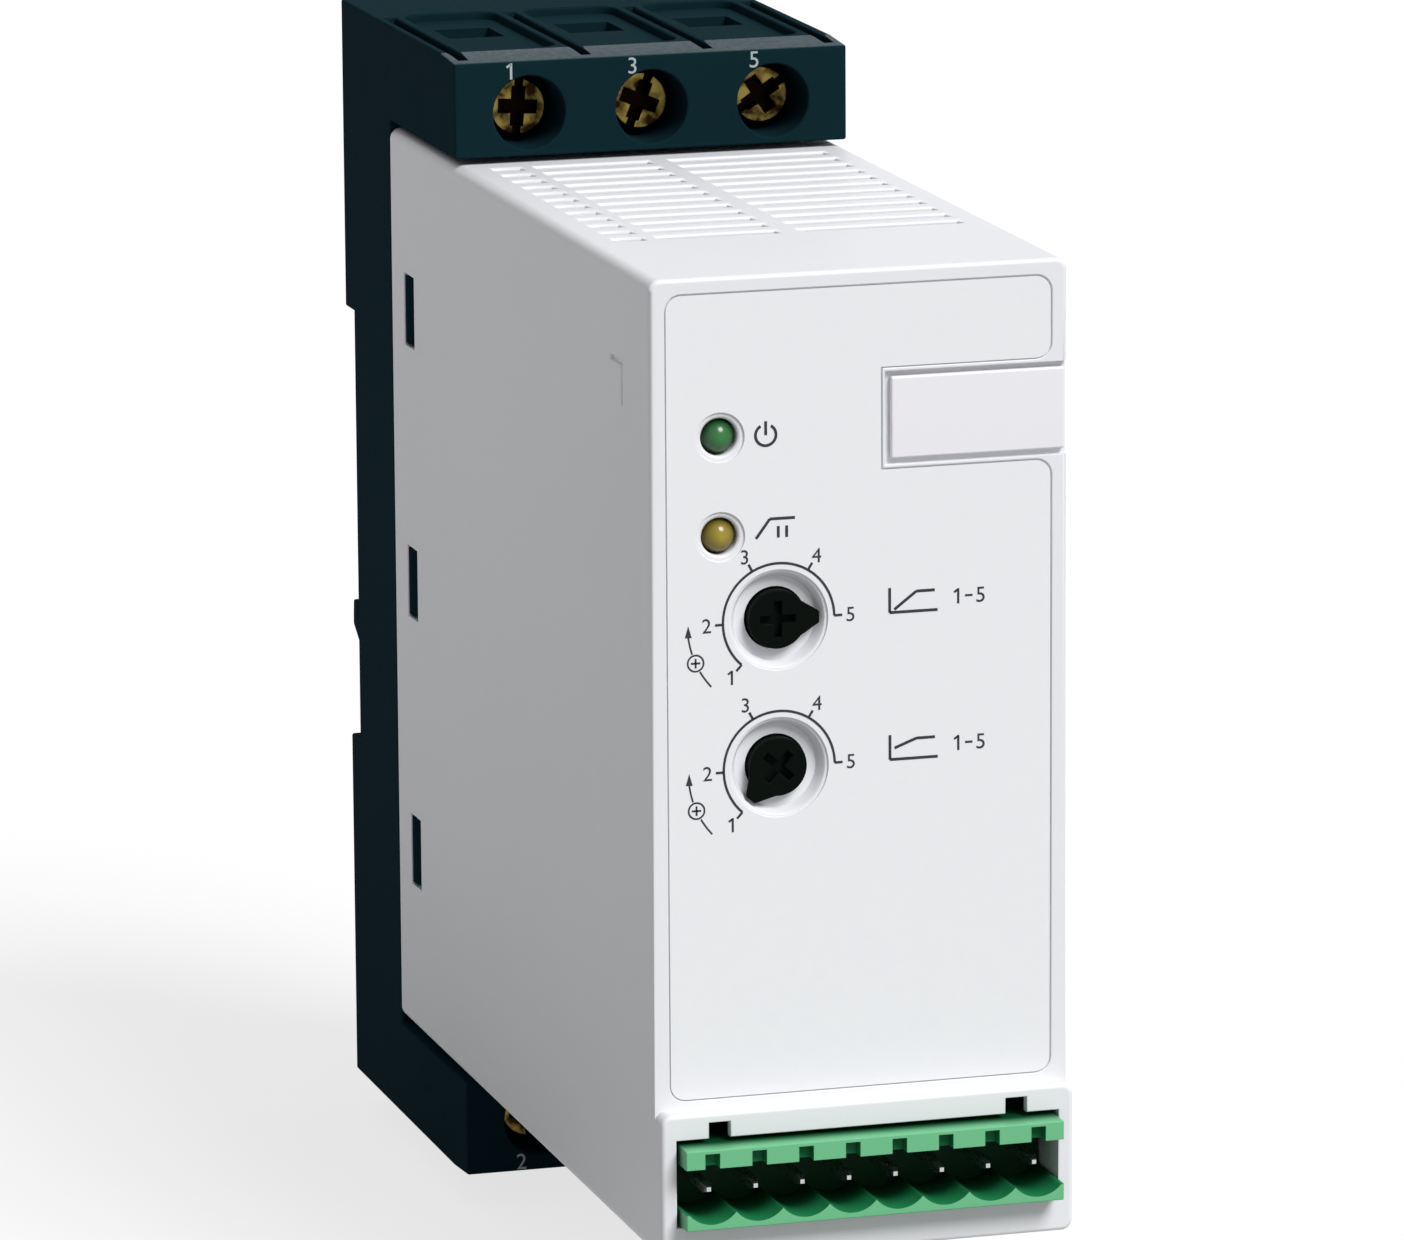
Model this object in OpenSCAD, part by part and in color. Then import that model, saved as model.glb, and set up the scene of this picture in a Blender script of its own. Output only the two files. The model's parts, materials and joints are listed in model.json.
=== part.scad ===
// Soft starter for a three-phase motor, made to snap on a 35 mm rail.
// Millimetres. X to the right, Y to the back, Z up, and the front faces -Y.
// Origin: centre of the rail seat. The seat is the plane Y = 0, and the rail's centre line is Z = 0.
// The upper terminals are the line side, the lower ones the load side.

/* [Housing] */
// Width of the base and the cover
body_w = 45; // [44.5:0.5:56]
// Top of the base above the rail's centre line
base_up = 54.5; // [52:0.5:70]
// Bottom of the base below the rail's centre line
base_down = 72.5; // [70:0.5:90]
// Rail seat to the front face of the cover
front_depth = 124; // [118:1:150]
// Rail seat to the seam between base and cover
seam_depth = 18; // [16:0.5:18]
// How far the rear pads stand behind the rail seat
rear_pad = 4; // [3.8:0.1:5]
// Side and top walls of the cover
cover_wall = 2; // [1.6:0.1:2.4]
// Front wall of the cover
front_wall = 2.4; // [2:0.1:3]
// Side walls of the base
base_wall = 2.4; // [2:0.1:3]
// Floor of the base behind the boards
base_floor = 3; // [2.4:0.1:4]
// Rounding of the cover's long edges
edge_r = 1.2; // [0.6:0.1:1.6]
// Gap between the cover and the terminal blocks
cover_gap = 0.75; // [0.4:0.05:1]

/* [Rail mount] */
// Height of the rail that the part snaps on
rail_h = 35; // [34:0.5:35]
// Thickness of the rail's flanges
rail_t = 1; // [0.8:0.1:1.2]
// How far claws and clip reach over the rail's edges
rail_grip = 1.6; // [1:0.1:2]
// Width of the rail clip
clip_w = 18; // [14:1:22]
// Travel of the rail clip
clip_travel = 3.5; // [2.5:0.1:4.5]
// Outer radius of the clip's spring
spring_r = 1.6; // [1.3:0.1:1.6]
// Wire radius of the clip's spring
spring_wire_r = 0.2; // [0.15:0.05:0.3]
// Turns of the clip's spring
spring_turns = 8; // [5:1:12]

/* [Terminals] */
// Distance between poles
pole_pitch = 14; // [13:0.1:14.2]
// Rail seat to the front faces of the terminal blocks
block_front = 47; // [46:0.5:48]
// Height of a terminal block
block_h = 11; // [10.6:0.1:12]
// Terminal screw axis from the block's outer face
screw_inset = 6.2; // [5.9:0.1:6.5]
// Radius of the screwdriver holes
driver_r = 4.1; // [3.6:0.1:4.3]
// Depth of the screw heads under the block's face
head_depth = 5; // [4.8:0.1:5.5]
// Radius of a terminal screw's head
head_r = 3.1; // [2.8:0.1:3.2]
// Radius of a terminal screw's thread
thread_r = 2; // [1.75:0.05:2.1]
// Travel of a cage from open to closed
cage_travel = 4.2; // [3:0.1:5]
// Width of the current bars
bar_w = 6; // [5:0.1:6]
// Thickness of the current bars
bar_t = 1.4; // [1:0.1:1.6]
// Width of the grooves between the poles
groove_w = 1.2; // [0.8:0.1:1.4]
// Depth of the grooves between the poles
groove_d = 3; // [2:0.1:4]

/* [Cover] */
// How far the connector step stands in front of the front face
step_out = 2.5; // [1.5:0.1:4]
// Height of the connector step
step_h = 16; // [15:0.5:18]
// Margin of the label at the sides and the top
label_margin = 1.8; // [1.6:0.1:2.4]
// Thickness of the label
label_t = 0.25; // [0.2:0.05:0.4]
// Left edge of the marker plate, from the middle
plate_left = 3.4; // [2:0.1:6]
// Height of the marker plate
plate_h = 8.6; // [7:0.1:9]
// Middle of the marker plate below the top of the cover
plate_drop = 15.75; // [14:0.25:17]
// Thickness of the marker plate
plate_t = 0.8; // [0.8:0.1:1.4]
// Pitch of the vent rows
vent_pitch = 4.4; // [3.6:0.1:6]
// Width of a vent slot
vent_w = 2.2; // [1.5:0.1:2.6]
// First vent row behind the front face
vent_front = 24; // [18:1:40]
// Height of the snap windows
snap_h = 8.2; // [6:0.1:10]
// Distance between the snap windows
snap_pitch = 31.3; // [26:0.1:32]

/* [Controls] */
// Lamps to the left of the middle
led_x = 15; // [14:0.1:16]
// First lamp below the top of the cover
led_drop = 16.75; // [15:0.25:18]
// Distance between the lamps
led_pitch = 10.4; // [8:0.1:11]
// Radius of a lamp
led_r = 1.8; // [1.5:0.1:2]
// Dials to the left of the middle
dial_x = 8.8; // [7:0.1:10]
// First dial below the second lamp
dial_drop = 9.1; // [8:0.1:13]
// Distance between the dials
dial_pitch = 15.6; // [13:0.1:18]
// Room from a pointer's tip to the rim of its dish
dish_room = 0.7; // [0.6:0.1:1.6]
// Radius of a knob
knob_r = 3.1; // [3:0.1:3.5]
// Reach of a knob's pointer from its axis
pointer_r = 4.5; // [4.2:0.1:4.6]
// Turn of a knob from one end of its scale to the other, in degrees
knob_turn = 228; // [200:1:270]
// Least wall of the cover beside the control socket
header_beside = 1.6; // [1:0.1:6]
// Pole pitch of the control socket
header_pitch = 5.08; // [5:0.01:5.08]

/* [Inside] */
// Front face of the cover to the control board
board_setback = 9.7; // [9:0.1:11]
// Thickness of the boards
board_t = 1.6; // [1:0.1:2]
// Length of the standoffs between power board and heatsink
standoff_len = 27; // [26:0.5:30]
// Thickness of the heatsink's plate
sink_t = 4; // [3:0.1:6]
// Length of the heatsink's fins
fin_len = 42; // [25:1:42]
// Thickness of the heatsink's fins
fin_t = 1.4; // [1:0.1:2]

/* [Hidden] */
$fn = 48;
// Overrun of cutting solids, and the overlap that joins solids
cut = 1;
join = 0.2;

// Main planes
half_w = body_w / 2;
front_y = -front_depth;
seam_y = -seam_depth;
block_y = -block_front;
cover_top = base_up - block_h - cover_gap;
cover_bottom = block_h + cover_gap - base_down;
inner_half = half_w - cover_wall;
cover_in_y = front_y + front_wall;
step_y = front_y - step_out;
step_top = cover_bottom + step_h;

// Base: tongues inside the cover, with a snap nub for each window
fit_gap = 0.2;
tongue_t = 1.6;
tongue_len = 12;
tongue_out = inner_half - fit_gap;
tongue_in = tongue_out - tongue_t;
tongue_top = cover_top - cover_wall - fit_gap;
tongue_bottom = cover_bottom + cover_wall + fit_gap;
snap_drop = 19.75;
snap_z = [for (i = [0:2]) cover_top - snap_drop - i * snap_pitch];
snap_setback = 5.5;
snap_len = 4.3;
snap_y = [seam_y - snap_setback - snap_len, seam_y - snap_setback];
nub_gap = 0.25;
nub_sink = 0.1;
nub_toe = 0.3;
nub_ramp = 2.4;

// Rail seat, claws and clip
rail_half = rail_h / 2;
rail_play = 0.3;
claw_x = [5.5, 15.5];
claw_room = 1.2;
claw_y = rail_t + rail_play;
seat_top = rail_half + claw_room;
slide_gap = 0.3;
clip_half = clip_w / 2;
clip_y = [0.6, 3.4];
channel_y = clip_y[0] - slide_gap;
flange_w = 1;
flange_y = [1.1, 2.2];
clip_foot = 1;
clip_bottom = clip_foot - base_down;
nose_h = 1.1;
nose_slope = 1.9;
nose_room = 7.7;
nose_side = 0.3;
nose_half = half_w - nose_side;
nose_top = rail_grip - rail_half;
nose_step = -rail_half - rail_play;
nose_back = 3.6;
nose_low = nose_step - nose_h;
nose_end = nose_low - nose_slope;
seat_bottom = nose_end - clip_travel - nose_room;
window_half = 2.4;
window_drop = 8;
window_top = seat_bottom - window_drop;
spring_end_gap = 0.1;
spring_closed = 12.3;
spring_len = spring_closed + clip_travel;
stud_h = 3;
stud_half = window_half - slide_gap;
stud_top = window_top - spring_len - 2 * spring_end_gap;
stud_bottom = stud_top - stud_h;
window_bottom = stud_bottom - slide_gap;
spring_y = (clip_y[0] + clip_y[1]) / 2;
spring_play = 0.3;
tool_slot = [3, 1.5, 4.4];

// Terminals, along Y
bar_behind = 20.6;
bar_y = [block_y + bar_behind, block_y + bar_behind + bar_t];
head_h = 2.6;
head_y = block_y + head_depth;
head_play = 0.2;
shoulder_y = head_y + head_h + head_play;
shoulder_t = 2.4;
neck_play = 0.4;
neck_r = thread_r + neck_play;
cage_wall = [1, 1.8, 1.4];
cage_lift = 1.4;
cage_side = 0.3;
wire_least = 3.1;
cage_y = [bar_y[0] - cage_lift - cage_wall[1], bar_y[1] + wire_least + cage_travel + cage_wall[2]];
cage_half = bar_w / 2 + cage_side + cage_wall[0];
cage_half_h = 3.4;
chamber_end = 0.7;
chamber_y = [shoulder_y + shoulder_t, cage_y[1] + chamber_end];
chamber_gap = 0.3;
chamber_half = cage_half + chamber_gap;
chamber_top = cage_half_h + chamber_gap;
thread_fit = 0.05;
tip_gap = 0.2;
cross_w = 1.5;
cross_len = 4.4;
cross_d = 1.9;
slot_w = 0.9;
slot_d = 1.2;
screw_angles = [4, 22, 57];
bar_tip = 2.9;
bar_reach = 8.5;
bar_clear = 0.3;
entry_side = 0.2;
entry_edge = 0.1;
entry_half = bar_w / 2 + entry_side;
entry_y = [bar_y[1] + entry_edge, cage_y[1] - cage_wall[2] - entry_edge];
pocket_front = 7;
pocket_back = 11;
pocket_y = [block_y + pocket_front, -pocket_back];
pocket_side = 1.6;
pocket_d = 0.9;
pocket_r = 2.5;
groove_front = 1.6;
groove_back = 13;
groove_y = [block_y + groove_front, -groove_back];
bevel = [6, 0.4];
bar_room = [1.5, 2.6];
bar_zone = pole_pitch + bar_w / 2 + bar_room[0];
bar_zone_y = bar_y[0] - bar_room[1];

// Cover front
label_foot = 0.9;
label_r = 1.6;
label_gap = 0.15;
label_sink = 0.05;
label_z = [step_top + label_foot, cover_top - label_margin];
plate_gap = 0.6;
plate_border = 0.5;
plate_end = 0.2;
plate_z = [cover_top - plate_drop - plate_h / 2, cover_top - plate_drop + plate_h / 2];
vent_side = 3.5;
vent_rib = [[-15.8, -14.2], [-1.25, 1.25]];
vent_cols = [[-half_w + vent_side, vent_rib[0][0]], [vent_rib[0][1], vent_rib[1][0]],
    [vent_rib[1][1], half_w - vent_side]];
vent_end = 1;
vent_start = front_y + vent_front;
vent_rows = floor((block_y - vent_end - vent_start - vent_w) / vent_pitch);
mark_inset = 10.1;
mark_len = 4.6;
mark_y = [front_y + mark_inset, front_y + mark_inset + mark_len];
mark_z = [cover_top - mark_inset - mark_len, cover_top - mark_inset];
mark_w = 0.5;
mark_d = 0.35;

// Control board, behind the front wall
board_y = [front_y + board_setback, front_y + board_setback + board_t];
board_gap = 1;
board_drop = 4;
board_half = inner_half - board_gap;
board_z = [cover_bottom + cover_wall + board_gap, cover_top - cover_wall - board_drop];
boss_r = 2.5;
boss_inset = 3.5;
boss_over_step = 6.5;
boss_drop = 4;
boss_x = board_half - boss_inset;
boss_z = [step_top + boss_over_step, board_z[1] - boss_drop];
pilot_r = 1.1;
pilot_depth = 5;
small_screw = [1.05, 4.5, 2.2, 1.4];

// Lamps, dials and knobs
led_z = [for (i = [0, 1]) cover_top - led_drop - i * led_pitch];
led_play = 0.15;
led_rim = 0.55;
led_out = 0.3;
led_flange = [0.3, 1];
led_len = 6;
led_base_y = front_y + led_len;
lead_w = 0.6;
lead_x = 1.27;
dial_z = [for (i = [0, 1]) led_z[1] - dial_drop - i * dial_pitch];
dish_d = 1.6;
dish_r = pointer_r + dish_room;
dish_slope = 0.8;
dish_floor_r = dish_r - dish_slope;
dish_back = 3.2;
dish_rim = 1.2;
knob_play = 0.2;
knob_sink = 0.3;
knob_past = 0.8;
knob_back_y = front_y + dish_back + knob_past;
knob_slot = [0.8, 3.8, 0.8];
pointer_t = 0.6;
pointer_spread = 58;
pointer_root = 0.2;
shaft_r = 2;
shaft_fit = 0.05;
shaft_len = 3.6;
pot_gap = 0.5;
pot_y = [knob_back_y + pot_gap, board_y[0]];
pot_half = 4.75;

// Control socket
header_end = 0.3;
header_clear = 0.25;
header_room = body_w - 2 * (header_beside + header_clear + header_end);
header_poles = floor(header_room / header_pitch);
header_half = header_poles * header_pitch / 2 + header_end;
header_h = 8.6;
header_over = 0.5;
header_floor = 3.9;
header_bottom = cover_bottom + header_floor + header_clear;
header_z = [header_bottom, header_bottom + header_h];
header_out = 2.7;
header_y = [step_y - header_out, board_y[0]];
header_wall = 2;
header_back = 6;
key_w = 1.6;
key_d = 1.6;
key_len = 1.5;
scoop_floor = 0.6;
scoop_rise = 1.2;
scoop_cusp = 0.04;
scoop_r = (pow(header_pitch / 2, 2) + pow(scoop_rise, 2)) / (2 * scoop_rise);
pin_w = 1;
pin_rise = 4;
pin_z = header_bottom + pin_rise;
pin_back = 1.5;
pin_tail = 1;
notch_inset = 4.42;
notch_x = header_half - notch_inset;
notch_size = [2.3, 1.7];
notch_lip = 1;
notch_pocket = 1.5;

// Power board, heatsink and what they carry
power_y = [bar_y[1], bar_y[1] + board_t];
power_side = 0.5;
power_end = 0.75;
power_half = tongue_in - power_side;
power_z = [cover_bottom + cover_wall + power_end, cover_top - cover_wall - power_end];
mount_x = pole_pitch / 2;
mount_r = 2.75;
mount_drop = 8;
mount_top = cover_top - mount_drop;
part_gap = 1;
relay = [13, 15.7, 29];
relay_edge = 2.2;
relay_x = power_half - relay_edge - relay[0] / 2;
relay_top = mount_top - mount_r - part_gap;
transformer = [20, 16, 20];
transformer_edge = 1.2;
transformer_x = transformer_edge + transformer[0] / 2 - power_half;
transformer_top = relay_top - relay[2] - part_gap;
capacitor_r = 5;
capacitor_len = 16;
capacitor_x = (transformer_x + transformer[0] / 2 + power_half) / 2;
lead_gap = 2.5;
lead_z = transformer_top - transformer[2] - lead_gap;
varistor_r = 5;
varistor_t = 4;
varistor_lift = 1.5;
varistor_lead = [0.8, 2.5];
varistor_edge = 0.7;
varistor_pitch = power_half - varistor_edge - varistor_r;
varistor_drop = 7.5;
varistor_z = lead_z - varistor_drop;
varistor_gap = 2;
mount_low = varistor_z - varistor_t / 2 - mount_r - varistor_gap;
rest_rise = 4;
rest_z = power_z[0] + rest_rise;
board_hole_r = 1.5;
stud_r = 1.2;
stud_len = 8;
thread_depth = 8;
tapped_r = 1.25;
sink_y = [power_y[0] - standoff_len - sink_t, power_y[0] - standoff_len];
sink_side = 0.2;
sink_end = 4;
sink_half = power_half - sink_side;
sink_z = [mount_low - sink_end, mount_top + sink_end];
fin_count = 7;
fin_pitch = (2 * sink_half - fin_t) / (fin_count - 1);
sink_screw = [1.15, 6, 2.4, 1.8];
access_play = 0.6;
access_r = sink_screw[2] + access_play;
thyristor = [14, 5, 20.8];
thyristor_edge = 0.7;
thyristor_x = sink_half - thyristor_edge - thyristor[0] / 2;
thyristor_rise = 3.6;
thyristor_z = lead_z + thyristor_rise;
thyristor_lead = [1.2, 0.6, 5.45];
thyristor_screw = [1.4, 8, 2.8, 2];
thyristor_screw_drop = 5;
thyristor_screw_z = thyristor_z + thyristor[2] - thyristor_screw_drop;
thyristor_hole_r = thyristor_screw[0] + led_play;
ribbon_x = mount_x;
ribbon = [5.6, 0.9];
plug = [6.4, 8, 5];
plug_gap = 1;
ribbon_z = pin_z + pin_w / 2 + plug_gap + plug[2] / 2;
chip = [12, 2, 12];
chip_z = (board_z[0] + board_z[1]) / 2;

line_side = 1;
load_side = -1;
poles = [1, 2, 3];

// A box between two values on each axis
module box(x, y, z) {
    translate([x[0], y[0], z[0]])
        cube([x[1] - x[0], y[1] - y[0], z[1] - z[0]]);
}

// A round post or bore along Y
module post(x, z, y, r) {
    translate([x, y[0], z])
        rotate([-90, 0, 0])
            cylinder(r = r, h = y[1] - y[0]);
}

// A cone along Y, with radius r[0] at y[0] and r[1] at y[1]
module cone(x, z, y, r) {
    translate([x, y[0], z])
        rotate([-90, 0, 0])
            cylinder(r1 = r[0], r2 = r[1], h = y[1] - y[0]);
}

// A flat outline in X and Z, given its thickness along Y
module slab(y) {
    translate([0, y[1], 0])
        rotate([90, 0, 0])
            linear_extrude(y[1] - y[0])
                children();
}

// A rectangle with round corners
module round_rect(x, z, r) {
    translate([x[0] + r, z[0]])
        square([x[1] - x[0] - 2 * r, z[1] - z[0]]);
    translate([x[0], z[0] + r])
        square([x[1] - x[0], z[1] - z[0] - 2 * r]);
    for (cx = [x[0] + r, x[1] - r], cz = [z[0] + r, z[1] - r])
        translate([cx, cz])
            circle(r);
}

// A pan-head screw along Y: size is thread radius, thread length, head radius, head height
// The head's seat is at y, and the thread runs towards the side given by dir
module screw(x, z, y, size, dir) {
    thread = dir > 0 ? [y - join, y + size[1]] : [y - size[1], y + join];
    head = dir > 0 ? [y - size[3], y] : [y, y + size[3]];
    slot = dir > 0 ? [head[0] - cut, y - size[3] / 2] : [y + size[3] / 2, head[1] + cut];
    post(x, z, thread, size[0]);
    difference() {
        post(x, z, head, size[2]);
        box([x - size[0] / 2, x + size[0] / 2], slot, [z - size[2] - cut, z + size[2] + cut]);
    }
}

// Places a terminal: z = 0 is the block's outer face, and inwards is -z
module at_pole(side, pole) {
    translate([(pole - 2) * pole_pitch, 0, side > 0 ? base_up : -base_down])
        mirror([0, 0, side > 0 ? 0 : 1])
            children();
}

// Places the four mounting posts of the power stage
module at_mounts() {
    for (x = [-mount_x, mount_x], z = [mount_low, mount_top])
        translate([x, 0, z])
            children();
}

// What one terminal takes out of its block
module terminal_cuts() {
    post(0, -screw_inset, [block_y - cut, shoulder_y], driver_r);
    post(0, -screw_inset, [shoulder_y - join, chamber_y[0] + join], neck_r);
    box([-chamber_half, chamber_half], chamber_y, [-block_h - cut, chamber_top - screw_inset]);
    box([-entry_half, entry_half], entry_y, [-screw_inset, cut]);
    pocket_half = pole_pitch / 2 - pocket_side;
    translate([0, 0, -pocket_d])
        linear_extrude(pocket_d + cut)
            round_rect([-pocket_half, pocket_half], pocket_y, pocket_r);
}

// Grooves between the poles and the bevel along the front edge, on the block's outer face
module block_cuts() {
    for (i = [-1.5:1:1.5])
        translate([i * pole_pitch, 0, 0])
            box([-groove_w / 2, groove_w / 2], groove_y, [-groove_d, cut]);
    translate([-half_w - cut, block_y, 0])
        rotate([90, 0, 90])
            linear_extrude(body_w + 2 * cut)
                polygon([[-cut, -bevel[1] - cut * bevel[1] / bevel[0]], [bevel[0], 0],
                    [bevel[0], cut], [-cut, cut]]);
}

// One terminal block, hollowed for its three poles
module terminal_block(side) {
    difference() {
        at_pole(side, 2)
            box([-half_w, half_w], [block_y, seam_y + join], [-block_h, 0]);
        block_hollows(side);
    }
}

module block_hollows(side) {
    for (p = poles)
        at_pole(side, p)
            terminal_cuts();
    at_pole(side, 2)
        block_cuts();
}

// Rear pads above and below the rail, with the clip's channel
module rear_pads() {
    box([-half_w, half_w], [-join, rear_pad], [seat_top, base_up]);
    difference() {
        box([-half_w, half_w], [-join, rear_pad], [-base_down, seat_bottom]);
        clip_channel();
        spring_trough();
    }
}

module clip_channel() {
    open_half = clip_half + slide_gap;
    run = [-base_down - cut, seat_bottom + cut];
    box([-open_half, open_half], [channel_y, rear_pad + cut], run);
    box([-open_half - flange_w, open_half + flange_w],
        [flange_y[0] - slide_gap, flange_y[1] + slide_gap], run);
}

// Trough for the spring in the floor of the clip's channel
module spring_trough() {
    translate([0, spring_y, stud_top - join])
        cylinder(r = spring_r + spring_play, h = window_top - stud_top + join);
}

// Claws that hook over the rail's upper edge
module rail_claws() {
    for (s = [-1, 1])
        mirror([s > 0 ? 0 : 1, 0, 0])
            box(claw_x, [claw_y, rear_pad], [rail_half - rail_grip, seat_top + join]);
}

// Snap nub on a tongue: a ramp that rises towards the base
module snap_nub(z) {
    reach = cover_wall + fit_gap - nub_sink;
    y = [snap_y[0] + nub_gap, snap_y[1] - nub_gap];
    translate([0, 0, z - snap_h / 2 + nub_gap])
        linear_extrude(snap_h - 2 * nub_gap)
            polygon([[tongue_out - join, y[0]], [tongue_out + nub_toe, y[0]],
                [tongue_out + reach, y[0] + nub_ramp], [tongue_out + reach, y[1]],
                [tongue_out - join, y[1]]]);
}

// Room for the outer bars where they pass a tongue
module bar_reliefs() {
    half = pole_pitch + bar_w / 2 + bar_clear;
    for (side = [line_side, load_side])
        at_pole(side, 2)
            box([-half, half], [bar_y[0] - bar_clear, bar_y[1] + bar_clear],
                [-block_h - cover_gap - bar_reach - bar_clear, 0]);
}

module base_tongues() {
    for (s = [-1, 1])
        mirror([s > 0 ? 0 : 1, 0, 0]) {
            difference() {
                box([tongue_in, tongue_out], [seam_y - tongue_len, join - base_floor],
                    [tongue_bottom, tongue_top]);
                bar_reliefs();
            }
            for (z = snap_z)
                snap_nub(z);
        }
}

// Posts that carry the power board
module board_posts() {
    post_y = [power_y[1], join - base_floor];
    at_mounts()
        difference() {
            post(0, 0, post_y, mount_r);
            post(0, 0, [power_y[1] - cut, power_y[1] + stud_len], tapped_r);
        }
    for (x = [-mount_x, mount_x])
        post(x, rest_z, post_y, mount_r);
}

module base() {
    color("#16333c") {
        difference() {
            box([-half_w, half_w], [seam_y, 0], [-base_down, base_up]);
            box([base_wall - half_w, half_w - base_wall], [seam_y - cut, -base_floor],
                [tongue_bottom, tongue_top]);
            block_hollows(line_side);
            block_hollows(load_side);
            spring_trough();
        }
        terminal_block(line_side);
        terminal_block(load_side);
        rear_pads();
        rail_claws();
        base_tongues();
        board_posts();
        box([-stud_half, stud_half], [-join, clip_y[1]], [stud_bottom, stud_top]);
    }
}

// Outline of the label, or of its recess when grown, round three sides of the marker plate
module label_outline(grow) {
    border = plate_gap + plate_border - grow;
    side = half_w - label_margin + grow;
    z = [label_z[0] - grow, label_z[1] + grow];
    corner = label_r + grow;
    round_rect([-side, side], [z[0], plate_z[0] - border], corner);
    round_rect([-side, side], [plate_z[1] + border, z[1]], corner);
    translate([-side, z[0] + corner])
        square([side + plate_left - border, z[1] - z[0] - 2 * corner]);
}

// Vent slots through the top and bottom walls of the cover
module cover_vents() {
    for (row = [0:vent_rows], x = vent_cols, z = [cover_bottom, cover_top]) {
        y = vent_start + row * vent_pitch;
        box(x, [y, y + vent_w], [z - cover_wall - cut, z + cover_wall + cut]);
    }
}

// Small corner mark moulded into the left side
module side_mark() {
    depth = [-half_w - cut, mark_d - half_w];
    box(depth, mark_y, [mark_z[1] - mark_w, mark_z[1]]);
    box(depth, [mark_y[0], mark_y[0] + mark_w], mark_z);
}

module cover_holes() {
    for (z = snap_z, s = [-1, 1])
        mirror([s > 0 ? 0 : 1, 0, 0])
            box([inner_half - cut, half_w + cut], snap_y, [z - snap_h / 2, z + snap_h / 2]);
    for (z = [cover_bottom, cover_top])
        box([-bar_zone, bar_zone], [bar_zone_y, seam_y + cut],
            [z - cover_wall - cut, z + cover_wall + cut]);
    cover_vents();
    side_mark();
    slab([front_y - cut, front_y + label_t + label_sink])
        label_outline(label_gap);
    box([plate_left - plate_gap, half_w + cut], [front_y - cut, front_y + plate_t],
        [plate_z[0] - plate_gap, plate_z[1] + plate_gap]);
    for (z = led_z) {
        post(-led_x, z, [front_y - cut, cover_in_y + cut], led_r + led_play);
        cone(-led_x, z, [front_y, front_y + led_rim], [led_r + led_play + led_rim, led_r + led_play]);
    }
    for (z = dial_z) {
        cone(-dial_x, z, [front_y, front_y + dish_d], [dish_r, dish_floor_r]);
        post(-dial_x, z, [front_y, front_y + dish_back + cut], knob_r + knob_play);
    }
    header_open = header_half + header_clear;
    box([-header_open, header_open], [step_y - cut, board_y[0] + header_clear],
        [header_z[0] - header_clear, header_z[1] + header_over]);
    notch_z = [header_z[1], header_z[1] + header_over + notch_size[1]];
    for (x = [-notch_x, notch_x]) {
        box([x - notch_size[0] / 2, x + notch_size[0] / 2], [step_y - cut, cover_in_y + cut], notch_z);
        box([x - notch_size[0] / 2 - notch_pocket, x + notch_size[0] / 2 + notch_pocket],
            [step_y + notch_lip, cover_in_y + cut], notch_z);
    }
}

module front_cover() {
    color("#e6e7ea")
        difference() {
            union() {
                difference() {
                    union() {
                        slab([front_y, seam_y])
                            round_rect([-half_w, half_w], [cover_bottom, cover_top], edge_r);
                        slab([step_y, cover_in_y])
                            round_rect([-half_w, half_w], [cover_bottom, step_top], edge_r);
                    }
                    box([-inner_half, inner_half], [cover_in_y, seam_y + cut],
                        [cover_bottom + cover_wall, cover_top - cover_wall]);
                }
                for (z = dial_z)
                    post(-dial_x, z, [cover_in_y - join, front_y + dish_back], dish_r + dish_rim);
                for (x = [-boss_x, boss_x], z = boss_z)
                    difference() {
                        post(x, z, [cover_in_y - join, board_y[0]], boss_r);
                        post(x, z, [board_y[0] - pilot_depth, board_y[0] + cut], pilot_r);
                    }
            }
            cover_holes();
        }
}

module front_label() {
    color("#eceded")
        difference() {
            slab([front_y + label_sink, front_y + label_sink + label_t])
                label_outline(0);
            for (z = led_z)
                post(-led_x, z, [front_y - cut, front_y + cut], led_r + led_play + led_rim + label_gap);
            for (z = dial_z)
                post(-dial_x, z, [front_y - cut, front_y + cut], dish_r + label_gap);
        }
}

module marker_plate() {
    color("#eeeef0")
        box([plate_left, half_w - plate_end], [front_y, front_y + plate_t], plate_z);
}

// Lamp: a domed lens with a flange and two leads down to the control board
module led(z, tint) {
    color(tint)
        translate([-led_x, 0, z]) {
            intersection() {
                post(0, 0, [front_y - led_out, led_base_y], led_r);
                translate([0, front_y - led_out + led_r, 0]) {
                    sphere(r = led_r);
                    post(0, 0, [0, front_depth], led_r);
                }
            }
            post(0, 0, [led_base_y - led_flange[1], led_base_y], led_r + led_flange[0]);
            for (x = [-lead_x, lead_x])
                box([x - lead_w / 2, x + lead_w / 2], [led_base_y - join, board_y[0]],
                    [-lead_w / 2, lead_w / 2]);
        }
}

module power_led() {
    led(led_z[0], "#2e8b3a");
}

module bypass_led() {
    led(led_z[1], "#a59a2b");
}

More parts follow.
